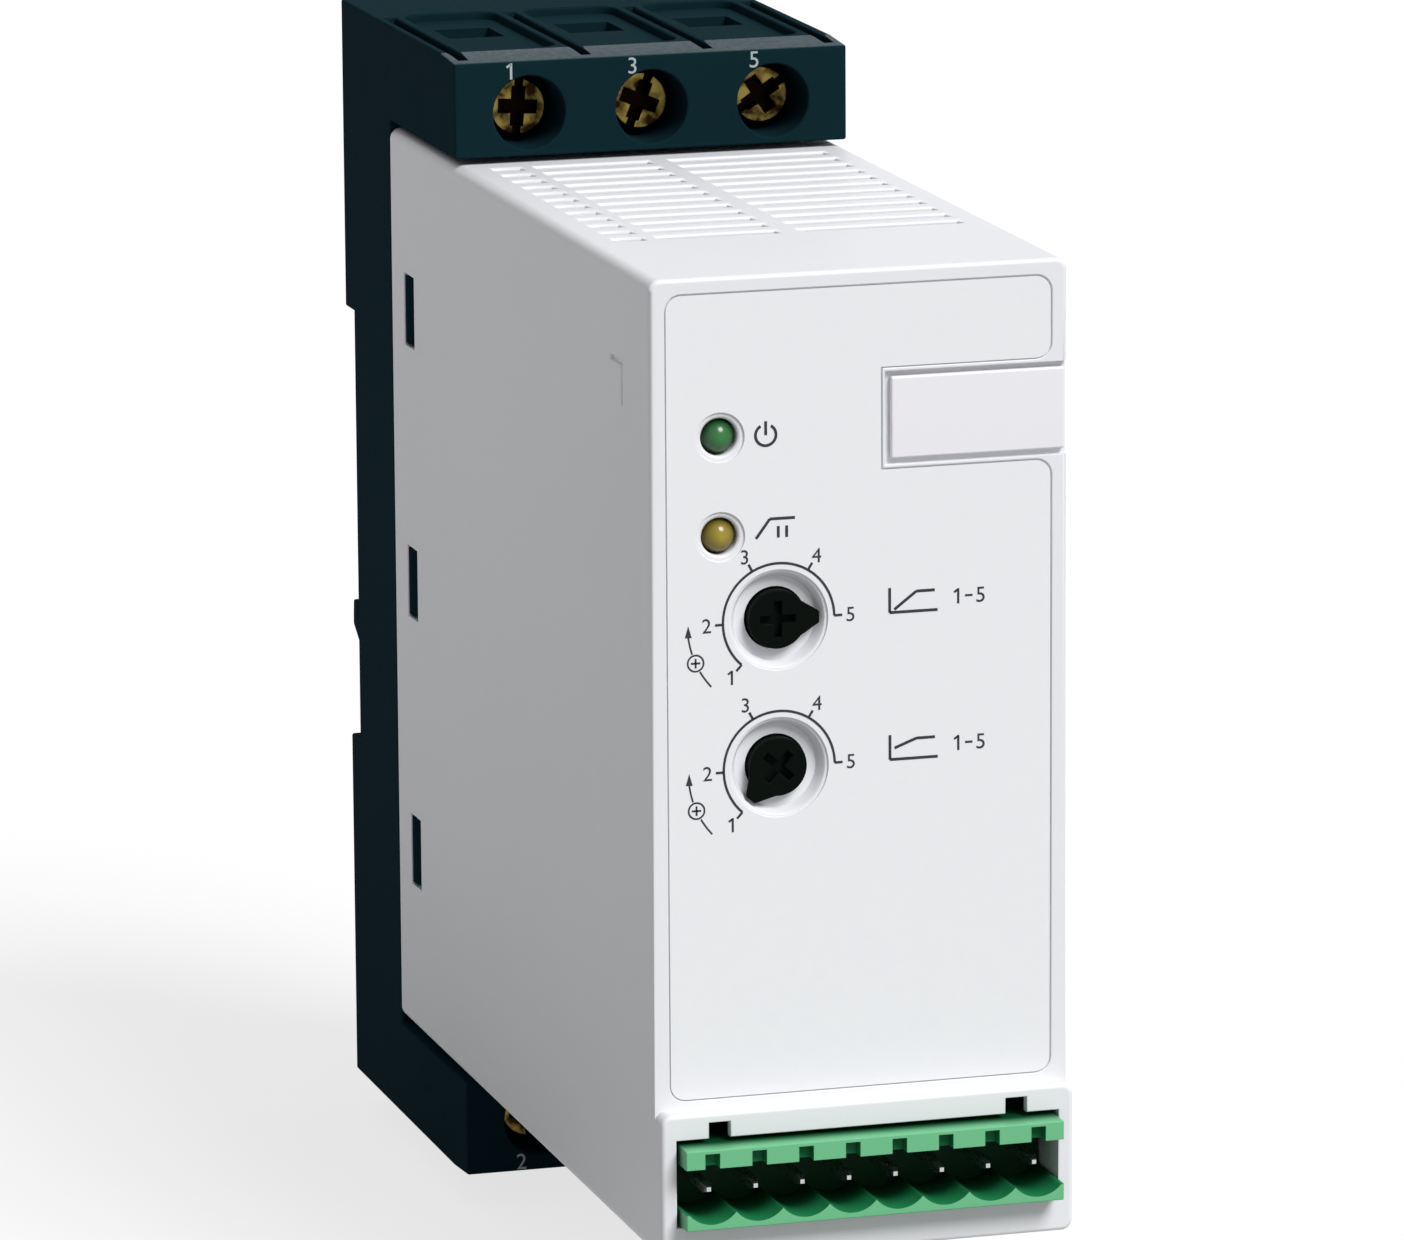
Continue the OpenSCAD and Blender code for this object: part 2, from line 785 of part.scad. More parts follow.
// Pointer knob with a cross slot, drawn with its pointer to the right and then turned on its axis
module knob(z, angle) {
    face_y = front_y + knob_sink;
    slot_y = [face_y - cut, face_y + knob_slot[2]];
    shoulder = (knob_r - pointer_root) * [cos(pointer_spread), sin(pointer_spread)];
    color("#0f1613")
        translate([-dial_x, 0, z])
            rotate([0, -angle, 0])
                difference() {
                    union() {
                        post(0, 0, [face_y, knob_back_y], knob_r);
                        slab([face_y, face_y + pointer_t])
                            polygon([[0, 0], [shoulder[0], -shoulder[1]], [pointer_r, -pointer_t],
                                [pointer_r, pointer_t], shoulder]);
                        post(0, 0, [knob_back_y - join, knob_back_y + shaft_len], shaft_r);
                    }
                    box([-knob_slot[1] / 2, knob_slot[1] / 2], slot_y,
                        [-knob_slot[0] / 2, knob_slot[0] / 2]);
                    box([-knob_slot[0] / 2, knob_slot[0] / 2], slot_y,
                        [-knob_slot[1] / 2, knob_slot[1] / 2]);
                }
}

module start_time_knob() {
    knob(dial_z[0], 0);
}

module voltage_knob() {
    knob(dial_z[1], knob_turn);
}

// Potentiometer with the bore that the knob's shaft turns in
module pot(z) {
    color("#2f5fa8")
        difference() {
            box([-dial_x - pot_half, pot_half - dial_x], pot_y, [z - pot_half, z + pot_half]);
            post(-dial_x, z, [pot_y[0] - cut, knob_back_y + shaft_len + tip_gap], shaft_r + shaft_fit);
        }
}

module start_time_pot() {
    pot(dial_z[0]);
}

module voltage_pot() {
    pot(dial_z[1]);
}

function header_x(i) = (i - (header_poles - 1) / 2) * header_pitch;

// Socket of the control circuit: keyed upper wall, scooped lower wall, open ends
module control_header() {
    mouth = [header_bottom + scoop_floor + scoop_rise - scoop_cusp, header_z[1] - header_wall];
    floor_y = header_y[1] - header_back;
    deep = [header_y[0] - cut, floor_y];
    color("#1f9a5a")
        difference() {
            box([-header_half, header_half], header_y, header_z);
            box([-header_half - cut, header_half + cut], deep, mouth);
            for (i = [0:header_poles - 1]) {
                box([header_x(i) - key_w / 2, header_x(i) + key_w / 2],
                    [header_y[0] - cut, header_y[0] + key_len], [mouth[1] - cut, mouth[1] + key_d]);
                intersection() {
                    post(header_x(i), header_bottom + scoop_floor + scoop_r, deep, scoop_r);
                    box([-header_half, header_half], deep, [header_bottom, mouth[1]]);
                }
                box([header_x(i) - pin_w / 2, header_x(i) + pin_w / 2], [floor_y - cut, header_y[1] + cut],
                    [pin_z - pin_w / 2, pin_z + pin_w / 2]);
            }
        }
}

module header_pins() {
    color("#c9ccd0")
        for (i = [0:header_poles - 1])
            box([header_x(i) - pin_w / 2, header_x(i) + pin_w / 2],
                [header_y[0] + pin_back, board_y[1] + pin_tail], [pin_z - pin_w / 2, pin_z + pin_w / 2]);
}

module control_board() {
    color("#1d6b3a")
        difference() {
            box([-board_half, board_half], board_y, board_z);
            for (x = [-boss_x, boss_x], z = boss_z)
                post(x, z, [board_y[0] - cut, board_y[1] + cut], board_hole_r);
            for (i = [0:header_poles - 1])
                box([header_x(i) - pin_w / 2, header_x(i) + pin_w / 2],
                    [board_y[0] - cut, board_y[1] + cut], [pin_z - pin_w / 2, pin_z + pin_w / 2]);
        }
}

module control_board_screws() {
    color("#b8bcc0")
        for (x = [-boss_x, boss_x], z = boss_z)
            screw(x, z, board_y[1], small_screw, -1);
}

module control_chip() {
    color("#1b1d1f")
        box([-chip[0] / 2, chip[0] / 2], [board_y[1], board_y[1] + chip[1]],
            [chip_z - chip[2] / 2, chip_z + chip[2] / 2]);
}

module power_board() {
    color("#1d6b3a")
        difference() {
            box([-power_half, power_half], power_y, power_z);
            at_mounts()
                post(0, 0, [power_y[0] - cut, power_y[1] + cut], board_hole_r);
        }
}

// Hexagonal standoffs: a stud through the board into the base, a tapped hole for the heatsink
module standoffs() {
    color("#c9a74a")
        at_mounts()
            difference() {
                union() {
                    translate([0, sink_y[1], 0])
                        rotate([-90, 0, 0])
                            cylinder(r = mount_r, h = standoff_len, $fn = 6);
                    post(0, 0, [power_y[0] - join, power_y[1] + stud_len - tip_gap], stud_r);
                }
                post(0, 0, [sink_y[1] - cut, sink_y[1] + thread_depth], tapped_r);
            }
}

// Extruded heatsink: plate with upright fins, cleared for the screws
module heatsink() {
    color("#b4b8bc")
        difference() {
            union() {
                box([-sink_half, sink_half], sink_y, sink_z);
                for (i = [0:fin_count - 1]) {
                    x = i * fin_pitch - sink_half;
                    box([x, x + fin_t], [sink_y[0] - fin_len, sink_y[0] + join], sink_z);
                }
            }
            at_mounts() {
                post(0, 0, [sink_y[0] - cut, sink_y[1] + cut], board_hole_r);
                post(0, 0, [sink_y[0] - fin_len - cut, sink_y[0]], access_r);
            }
            for (s = [-1, 1])
                post(s * thyristor_x, thyristor_screw_z,
                    [sink_y[1] + thyristor[1] - thyristor_screw[1] - tip_gap, sink_y[1] + cut],
                    thyristor_screw[0] + thread_fit);
        }
}

module heatsink_screws() {
    color("#b8bcc0")
        at_mounts()
            screw(0, 0, sink_y[0], sink_screw, 1);
}

// Thyristor module on the plate, with leads bent back to the power board
module thyristor(x) {
    y = [sink_y[1], sink_y[1] + thyristor[1]];
    lead_y = (y[0] + y[1]) / 2;
    color("#1b1d1f")
        difference() {
            union() {
                box([x - thyristor[0] / 2, x + thyristor[0] / 2], y,
                    [thyristor_z, thyristor_z + thyristor[2]]);
                for (i = [-1:1]) {
                    lead_x0 = x + i * thyristor_lead[2] - thyristor_lead[0] / 2;
                    span = [lead_x0, lead_x0 + thyristor_lead[0]];
                    box(span, [lead_y, lead_y + thyristor_lead[1]], [lead_z, thyristor_z + join]);
                    box(span, [lead_y, power_y[0]], [lead_z, lead_z + thyristor_lead[1]]);
                }
            }
            post(x, thyristor_screw_z, [y[0] - cut, y[1] + cut], thyristor_hole_r);
        }
}

module thyristor_a() {
    thyristor(-thyristor_x);
}

module thyristor_b() {
    thyristor(thyristor_x);
}

module thyristor_screws() {
    color("#b8bcc0")
        for (s = [-1, 1])
            screw(s * thyristor_x, thyristor_screw_z, sink_y[1] + thyristor[1], thyristor_screw, -1);
}

// A boxed part that stands on the power board: size is width, height off the board, length
module on_board(x, top, size) {
    box([x - size[0] / 2, x + size[0] / 2], [power_y[0] - size[1], power_y[0]], [top - size[2], top]);
}

module bypass_relay_a() {
    color("#26292c")
        on_board(-relay_x, relay_top, relay);
}

module bypass_relay_b() {
    color("#26292c")
        on_board(relay_x, relay_top, relay);
}

module supply_transformer() {
    color("#c8b04a")
        on_board(transformer_x, transformer_top, transformer);
}

module supply_capacitor() {
    color("#24303c")
        post(capacitor_x, transformer_top - transformer[2] / 2,
            [power_y[0] - capacitor_len, power_y[0]], capacitor_r);
}

// Disc varistors, one for each pole, standing on two leads
module varistors() {
    color("#2b4f9c")
        for (p = poles)
            translate([(p - 2) * varistor_pitch, power_y[0] - varistor_lift - varistor_r, varistor_z]) {
                cylinder(r = varistor_r, h = varistor_t, center = true);
                for (s = [-1, 1]) {
                    x = s * varistor_lead[1];
                    box([x - varistor_lead[0] / 2, x + varistor_lead[0] / 2],
                        [0, varistor_r + varistor_lift],
                        [-varistor_lead[0] / 2, varistor_lead[0] / 2]);
                }
            }
}

module ribbon_connectors() {
    color("#e8e2d0")
        for (y = [power_y[0] - plug[1], board_y[1]])
            box([ribbon_x - plug[0] / 2, ribbon_x + plug[0] / 2], [y, y + plug[1]],
                [ribbon_z - plug[2] / 2, ribbon_z + plug[2] / 2]);
}

module ribbon_cable() {
    color("#9aa0a6")
        box([ribbon_x - ribbon[0] / 2, ribbon_x + ribbon[0] / 2],
            [board_y[1] + plug[1], power_y[0] - plug[1]],
            [ribbon_z - ribbon[1] / 2, ribbon_z + ribbon[1] / 2]);
}

// Sliding clip: a plate in the base's channel, with a wide nose over the rail's lower edge
module rail_clip() {
    color("#1a2a30")
        difference() {
            union() {
                box([-clip_half, clip_half], clip_y, [clip_bottom, nose_end + join]);
                box([-clip_half - flange_w, clip_half + flange_w], flange_y,
                    [clip_bottom, seat_bottom - slide_gap]);
                translate([-nose_half, 0, 0])
                    rotate([90, 0, 90])
                        linear_extrude(2 * nose_half)
                            polygon([[clip_y[0], nose_end], [clip_y[0], nose_step], [claw_y, nose_step],
                                [claw_y, nose_top], [clip_y[1], nose_top], [nose_back, nose_step],
                                [nose_back, nose_low]]);
            }
            box([-window_half, window_half], [clip_y[0] - cut, clip_y[1] + cut],
                [window_bottom, window_top]);
            box([-tool_slot[0], tool_slot[0]], [clip_y[0] - cut, clip_y[1] + cut],
                [clip_bottom + tool_slot[1], clip_bottom + tool_slot[1] + tool_slot[2]]);
        }
}

// Rings of points along the spring's helix
spring_sides = 8;
spring_steps = round(12 * spring_turns);
spring_coil_r = spring_r - spring_wire_r;
spring_rise = spring_len - 2 * spring_wire_r;
function spring_point(k, j) =
    let (a = 360 * spring_turns * k / spring_steps, t = 360 * j / spring_sides)
    let (r = spring_coil_r + spring_wire_r * cos(t))
    [r * cos(a), r * sin(a), spring_wire_r + spring_rise * k / spring_steps + spring_wire_r * sin(t)];
function ring_index(k, j) = k * spring_sides + j % spring_sides;

module clip_spring() {
    points = [for (k = [0:spring_steps], j = [0:spring_sides - 1]) spring_point(k, j)];
    walls = [for (k = [0:spring_steps - 1], j = [0:spring_sides - 1])
        [ring_index(k, j), ring_index(k, j + 1), ring_index(k + 1, j + 1), ring_index(k + 1, j)]];
    first = [for (j = [spring_sides - 1:-1:0]) ring_index(0, j)];
    last = [for (j = [0:spring_sides - 1]) ring_index(spring_steps, j)];
    color("#b8bcc0")
        translate([0, spring_y, stud_top + spring_end_gap])
            polyhedron(points, concat(walls, [first, last]));
}

// Current bar from a cage to the power board
module current_bar(side, pole) {
    color("#c58a4e")
        at_pole(side, pole)
            box([-bar_w / 2, bar_w / 2], bar_y, [-block_h - cover_gap - bar_reach, bar_tip - screw_inset]);
}

// Rising cage: a loop round the bar, with the screw's thread in its front wall
module cage(side, pole) {
    color("#c9ccd0")
        at_pole(side, pole)
            difference() {
                box([-cage_half, cage_half], cage_y,
                    [-screw_inset - cage_half_h, cage_half_h - screw_inset]);
                box([cage_wall[0] - cage_half, cage_half - cage_wall[0]],
                    [cage_y[0] + cage_wall[1], cage_y[1] - cage_wall[2]], [-block_h - cut, cut]);
                post(0, -screw_inset, [cage_y[0] - cut, cage_y[0] + cage_wall[1] + cut],
                    thread_r + thread_fit);
            }
}

// Terminal screw with a slot across its head and a deeper cross recess
module terminal_screw(side, pole) {
    recess_y = [head_y - cut, head_y + cross_d];
    color("#b08d4c")
        at_pole(side, pole)
            translate([0, 0, -screw_inset])
                rotate([0, screw_angles[pole - 1], 0])
                    difference() {
                        union() {
                            post(0, 0, [head_y, head_y + head_h], head_r);
                            post(0, 0, [head_y + head_h - join, bar_y[0] - tip_gap], thread_r);
                        }
                        box([-slot_w / 2, slot_w / 2], [head_y - cut, head_y + slot_d],
                            [-head_r - cut, head_r + cut]);
                        box([-cross_w / 2, cross_w / 2], recess_y, [-cross_len / 2, cross_len / 2]);
                        box([-cross_len / 2, cross_len / 2], recess_y, [-cross_w / 2, cross_w / 2]);
                    }
}

base();
front_cover();
front_label();
marker_plate();
power_led();
bypass_led();
start_time_knob();
voltage_knob();
start_time_pot();
voltage_pot();
control_header();
header_pins();
control_board();
control_board_screws();
control_chip();
power_board();
standoffs();
heatsink();
heatsink_screws();
thyristor_a();
thyristor_b();
thyristor_screws();
bypass_relay_a();
bypass_relay_b();
supply_transformer();
supply_capacitor();
varistors();
ribbon_cable();
ribbon_connectors();
rail_clip();
clip_spring();
for (p = poles) {
    current_bar(line_side, p);
    current_bar(load_side, p);
    cage(line_side, p);
    cage(load_side, p);
    terminal_screw(line_side, p);
    terminal_screw(load_side, p);
}
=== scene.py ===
# %% [markdown]
# # Dressing a soft starter
# A soft starter is a slim box on a mounting rail that brings a motor up to speed gently. Its solids
# are already built at their real size, in metres, with the front facing -Y. This lesson gives them the
# rounded edges, print and surfaces of the real device. The solids are loaded first and never moved.

# %% Load the solids
import json
import math

import bmesh
import bpy
from mathutils import Matrix, Vector


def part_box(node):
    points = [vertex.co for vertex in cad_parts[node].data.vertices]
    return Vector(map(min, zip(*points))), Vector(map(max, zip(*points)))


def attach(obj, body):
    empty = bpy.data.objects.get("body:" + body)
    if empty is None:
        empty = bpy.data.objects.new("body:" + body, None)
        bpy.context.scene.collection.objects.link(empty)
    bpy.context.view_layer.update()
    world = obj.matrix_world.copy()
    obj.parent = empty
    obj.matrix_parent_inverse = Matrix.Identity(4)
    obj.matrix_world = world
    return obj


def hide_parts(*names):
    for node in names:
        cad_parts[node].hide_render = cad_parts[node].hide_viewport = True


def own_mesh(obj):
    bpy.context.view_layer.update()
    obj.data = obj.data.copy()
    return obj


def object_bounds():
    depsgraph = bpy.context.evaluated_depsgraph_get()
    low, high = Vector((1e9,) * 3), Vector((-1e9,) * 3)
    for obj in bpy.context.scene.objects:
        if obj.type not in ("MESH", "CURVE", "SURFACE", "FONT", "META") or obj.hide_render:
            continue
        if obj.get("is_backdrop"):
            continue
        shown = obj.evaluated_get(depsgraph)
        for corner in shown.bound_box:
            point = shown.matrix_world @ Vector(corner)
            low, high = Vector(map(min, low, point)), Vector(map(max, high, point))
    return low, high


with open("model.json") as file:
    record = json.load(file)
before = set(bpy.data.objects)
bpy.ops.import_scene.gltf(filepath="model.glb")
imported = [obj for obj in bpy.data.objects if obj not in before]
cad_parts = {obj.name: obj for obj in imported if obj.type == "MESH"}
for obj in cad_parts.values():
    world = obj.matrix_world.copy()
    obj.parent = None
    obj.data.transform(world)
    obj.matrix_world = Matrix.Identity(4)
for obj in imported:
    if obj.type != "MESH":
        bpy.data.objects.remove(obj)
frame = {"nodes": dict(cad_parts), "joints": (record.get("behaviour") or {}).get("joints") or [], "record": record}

MM = 0.001
cad_low, cad_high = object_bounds()

# %% [markdown]
# ## The camera
# The photograph was taken from the upper left with a long lens. The lens's focal length is known in pixels
# of a 1404 pixel wide picture, so a 36 mm sensor gives the focal length in millimetres. The camera's own
# axes are written as a matrix: right, up, and back towards the photographer.

# %% Camera
PICTURE_W = 1404
FOCAL_PIXELS = 9000
SENSOR_MM = 36
AZIMUTH, ELEVATION, ROLL = (math.radians(a) for a in (-16.25, 12.03, 0.37))
EYE = Vector((-270.4, -993.2, 200.0)) * MM

camera_data = bpy.data.cameras.new("camera")
camera_data.sensor_width = SENSOR_MM
camera_data.lens = FOCAL_PIXELS / PICTURE_W * SENSOR_MM
back = Vector((math.sin(AZIMUTH) * math.cos(ELEVATION), -math.cos(AZIMUTH) * math.cos(ELEVATION),
               math.sin(ELEVATION)))
level = Vector((math.cos(AZIMUTH), math.sin(AZIMUTH), 0))
upright = back.cross(level)
right = level * math.cos(ROLL) - upright * math.sin(ROLL)
above = back.cross(right)
camera = bpy.data.objects.new("camera", camera_data)
camera.matrix_world = Matrix.Translation(EYE) @ Matrix((right, above, back)).transposed().to_4x4()
bpy.context.scene.collection.objects.link(camera)
bpy.context.scene.camera = camera
print("camera with a", round(camera_data.lens, 1), "mm lens")

# %% [markdown]
# ## Colours and nodes
# Colours are picked in sRGB, as on a screen, and shaders work in linear light, so one function turns a
# hex code to linear. A second small function adds a node, sets it up and links it, so that each
# material below reads as a short recipe.

# %% Helpers for materials
# A Mix node has several sockets of one name, so those for colours are known by their number
MIX_A, MIX_B, MIX_RESULT = 6, 7, 2


def linear(code):
    """An sRGB hex colour as the linear RGBA that shaders take."""
    parts = [int(code[i:i + 2], 16) / 255 for i in (1, 3, 5)]
    return [c / 12.92 if c <= 0.04045 else ((c + 0.055) / 1.055) ** 2.4 for c in parts] + [1]


def add(tree, kind, inputs=None, **settings):
    """Adds one node. Each input is a value, or the output socket that feeds it."""
    made = tree.nodes.new(kind)
    for name, value in settings.items():
        setattr(made, name, value)
    for socket, value in (inputs or {}).items():
        if isinstance(value, bpy.types.NodeSocket):
            tree.links.new(value, made.inputs[socket])
        else:
            made.inputs[socket].default_value = value
    return made


def start_material(name):
    """A new material with an empty tree, and the Object coordinates that its patterns read."""
    made = bpy.data.materials.new(name)
    made.use_nodes = True
    made.node_tree.nodes.clear()
    place = add(made.node_tree, "ShaderNodeTexCoord").outputs["Object"]
    return made, made.node_tree, place


def end_material(tree, sockets):
    """Closes a material with one Principled shader that takes these sockets."""
    shader = add(tree, "ShaderNodeBsdfPrincipled", sockets)
    add(tree, "ShaderNodeOutputMaterial", {"Surface": shader.outputs["BSDF"]})


print("helpers ready, mid grey is", round(linear("#808080")[0], 3))

# %% [markdown]
# ## Moulded plastic
# Housing, cover, socket and knobs are injection moulded. The steel mould was spark eroded, which leaves a
# fine even grain on the part, and the melt cools a little unevenly, so the tone drifts over a few
# centimetres. One noise at each of these sizes gives both. The real grain is near 0.1 mm: it is drawn
# coarser, so that it shows in a picture of this size.

# %% Moulded plastic
FLOW_MM = 30
# Nearly all of a noise lies between these two values
NOISE_LOW, NOISE_HIGH = 0.3, 0.7
PLASTIC_DRIFT = 0.06


def moulded_plastic(name, tone, drift, roughness, grain_mm, grain_depth_mm, gloss):
    """Spark-eroded thermoplastic: tone and drift are its two close colours, gloss its specular level."""
    made, tree, place = start_material(name)
    flow = add(tree, "ShaderNodeTexNoise", {"Vector": place, "Scale": 1 / (FLOW_MM * MM), "Detail": 3.0})
    colour = add(tree, "ShaderNodeMix", {0: flow.outputs["Fac"], MIX_A: linear(tone), MIX_B: linear(drift)},
                 data_type="RGBA")
    grain = add(tree, "ShaderNodeTexNoise", {"Vector": place, "Scale": 1 / (grain_mm * MM), "Detail": 2.0})
    bump = add(tree, "ShaderNodeBump", {"Height": grain.outputs["Fac"], "Distance": grain_depth_mm * MM,
                                        "Strength": 0.5})
    sheen = add(tree, "ShaderNodeMapRange",
                {"Value": grain.outputs["Fac"], "From Min": NOISE_LOW, "From Max": NOISE_HIGH,
                 "To Min": roughness - PLASTIC_DRIFT, "To Max": roughness + PLASTIC_DRIFT})
    end_material(tree, {"Base Color": colour.outputs[MIX_RESULT], "Roughness": sheen.outputs["Result"],
                        "Normal": bump.outputs["Normal"], "Specular IOR Level": gloss})
    return made


# Glass-filled polyamide, petrol-black: matt and dark, it throws back very little of the studio
polyamide_base = moulded_plastic("glass_filled_polyamide", "#122a31", "#0f242b", 0.62, 0.35, 0.02, 0.002)
# The same polyamide on the sloping strips along the front of the terminal blocks, glossier and painted lighter:
# painted sheen
painted_sheen_polyamide = moulded_plastic("painted_sheen_polyamide", "#1b343b", "#182f36", 0.5, 0.6, 0.008, 0.15)
# Polycarbonate blend in light grey-white, with a soft even sheen
polycarbonate_cover = moulded_plastic("polycarbonate_cover", "#e6e7ea", "#e2e3e7", 0.45, 0.4, 0.015, 0.4)
# Marker plate: the same white but smoother, because it is written on
marker_acrylic = moulded_plastic("marker_acrylic", "#eceaee", "#e6e5ea", 0.35, 0.8, 0.006, 0.45)
# Black polyoxymethylene of the knobs, smooth enough to catch small highlights
acetal_knob = moulded_plastic("black_acetal", "#070c09", "#0c120f", 0.42, 0.5, 0.02, 0.02)
print("five moulded plastics")

# %% [markdown]
# ## Green polyamide of the socket
# The socket is a pale green polyamide. Behind its front its colour is painted darker with depth, to a deep
# green: painted shade, for the shade behind the front and inside the mouth, where it darkens at once. So the
# colour changes with the depth behind the front, and the outside and the mouth take two finishes of one recipe.

# %% Green polyamide
PALE_MM = 0.15
MOTTLE_MM, MOTTLE_DEPTH_MM = 1.2, 0.01
NYLON_ROUGHNESS = 0.42


def polyamide_painted_shade(name, edge, wall, front, fade_mm, gloss):
    """Green nylon with painted shade: edge is its colour at the front plane, wall the painted shade fade_mm behind
    it.
    """
    made, tree, place = start_material(name)
    # Painted shade: the colour darkens with the depth behind the front
    depth = add(tree, "ShaderNodeSeparateXYZ", {"Vector": place}).outputs["Y"]
    fade = add(tree, "ShaderNodeMapRange", {"Value": depth, "From Min": front + PALE_MM * MM,
                                            "From Max": front + fade_mm * MM},
               interpolation_type="SMOOTHSTEP")
    colour = add(tree, "ShaderNodeMix",
                 {0: fade.outputs["Result"], MIX_A: linear(edge), MIX_B: linear(wall)}, data_type="RGBA")
    flow = add(tree, "ShaderNodeTexNoise", {"Vector": place, "Scale": 1 / (MOTTLE_MM * MM), "Detail": 3.0})
    bump = add(tree, "ShaderNodeBump", {"Height": flow.outputs["Fac"], "Distance": MOTTLE_DEPTH_MM * MM,
                                        "Strength": 0.4})
    sheen = add(tree, "ShaderNodeMapRange",
                {"Value": flow.outputs["Fac"], "From Min": NOISE_LOW, "From Max": NOISE_HIGH,
                 "To Min": NYLON_ROUGHNESS - PLASTIC_DRIFT, "To Max": NYLON_ROUGHNESS + PLASTIC_DRIFT})
    end_material(tree, {"Base Color": colour.outputs[MIX_RESULT], "Roughness": sheen.outputs["Result"],
                        "Normal": bump.outputs["Normal"], "Specular IOR Level": gloss})
    return made


socket_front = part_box("control_header")[0].y
# Outside, pale at the front and painted deep green 3.2 mm behind it: painted shade
polyamide_socket = polyamide_painted_shade("green_polyamide", "#6db988", "#0b4325", socket_front, 3.2, 0.1)
# In the mouth, painted darker from the start and nearly black 6 mm behind the front: painted shade
mouth_painted_shade = polyamide_painted_shade("green_polyamide_mouth", "#23824f", "#02331b", socket_front,
                                        6.0, 0.1)
print("green polyamide, outside and in the mouth")

# %% [markdown]
# ## Film and ink
# The front carries a polyester film behind which nothing shows, with screen-printed marks. Ink lies on the
# film as a layer of a few hundredths of a millimetre, so the marks are real thin meshes. A film is
# smoother than the moulded cover but matt, and ink soaks in unevenly, which a fine noise gives.

# %% Film and ink
INK_DRIFT = 0.05
INK_GLOSS = 0.35


def printed_layer(name, tone, drift, roughness, grain_mm):
    """A matt film or dried ink, with a faint mottle."""
    made, tree, place = start_material(name)
    mottle = add(tree, "ShaderNodeTexNoise", {"Vector": place, "Scale": 1 / (grain_mm * MM), "Detail": 4.0})
    colour = add(tree, "ShaderNodeMix",
                 {0: mottle.outputs["Fac"], MIX_A: linear(tone), MIX_B: linear(drift)}, data_type="RGBA")
    sheen = add(tree, "ShaderNodeMapRange",
                {"Value": mottle.outputs["Fac"], "From Min": NOISE_LOW, "From Max": NOISE_HIGH,
                 "To Min": roughness - INK_DRIFT, "To Max": roughness + INK_DRIFT})
    end_material(tree, {"Base Color": colour.outputs[MIX_RESULT], "Roughness": sheen.outputs["Result"],
                        "Specular IOR Level": INK_GLOSS})
    return made


# Velvet-finish polyester film, a shade cooler than the cover
polyester_film = printed_layer("polyester_film", "#e9eaec", "#e5e7ea", 0.5, 1.5)
# Black screen ink on the film, and white ink on the dark blocks
black_ink = printed_layer("black_screen_ink", "#20242a", "#2c3036", 0.55, 0.4)
white_ink = printed_layer("white_pad_ink", "#aab4b8", "#9aa5aa", 0.6, 0.4)
print("film and two inks")

# %% [markdown]
# ## Lamp lenses
# Each lamp is a clear tinted epoxy dome over a small reflector cup. Its colour is painted lighter in the middle,
# as painted light thrown back by the cup, and darker at the rim, as painted shade of the epoxy's full depth.
# A spherical gradient centred on the dome gives this, and a glossy coat gives the small highlight.


# %% Lens material
def tinted_epoxy(name, node, heart, rim):
    """Tinted epoxy of one lamp: heart is the painted light over the cup, rim the painted shade at the edge."""
    made, tree, place = start_material(name)
    low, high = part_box(node)
    reach = (high.x - low.x) / 2
    middle = Vector(((low.x + high.x) / 2, low.y, (low.z + high.z) / 2))
    centred = add(tree, "ShaderNodeMapping", {"Vector": place, "Location": -middle / reach,
                                              "Scale": (1 / reach,) * 3})
    # Painted light over the cup and painted shade at the rim
    painted_cup_light = add(tree, "ShaderNodeTexGradient", {"Vector": centred.outputs["Vector"]},
               gradient_type="SPHERICAL")
    colour = add(tree, "ShaderNodeMix", {0: painted_cup_light.outputs["Fac"], MIX_A: linear(rim), MIX_B: linear(heart)},
                 data_type="RGBA")
    end_material(tree, {"Base Color": colour.outputs[MIX_RESULT], "Roughness": 0.25, "IOR": 1.54,
                        "Specular IOR Level": 0.35, "Coat Weight": 0.2, "Coat Roughness": 0.1})
    return made


green_epoxy = tinted_epoxy("green_epoxy", "power_led", "#257a33", "#0c3517")
yellow_epoxy = tinted_epoxy("yellow_epoxy", "bypass_led", "#a08d1e", "#574b0c")
print("two lens tints")

# %% [markdown]
# ## Metals
# Screws, cages, bars and the heatsink are bare or plated metal. Rolling, turning and drawing leave streaks
# along one direction, so the noise is stretched: its three sizes in millimetres say which way.
# The passivation of a terminal screw is a thin golden film. Its dark patches are painted shade, so its two
# colours are parted more sharply. In its recess the colour is painted darker with the depth behind the head.

# %% Metals
STREAK_LOW, STREAK_HIGH = 0.25, 0.75
METAL_DRIFT = 0.08
# Painted shade in a screw's recess: its colour, and the depths behind the head over which it sets in
RECESS_SHADE = "#120a05"
UNSHADED_MM, SHADE_MM = 0.1, 0.7


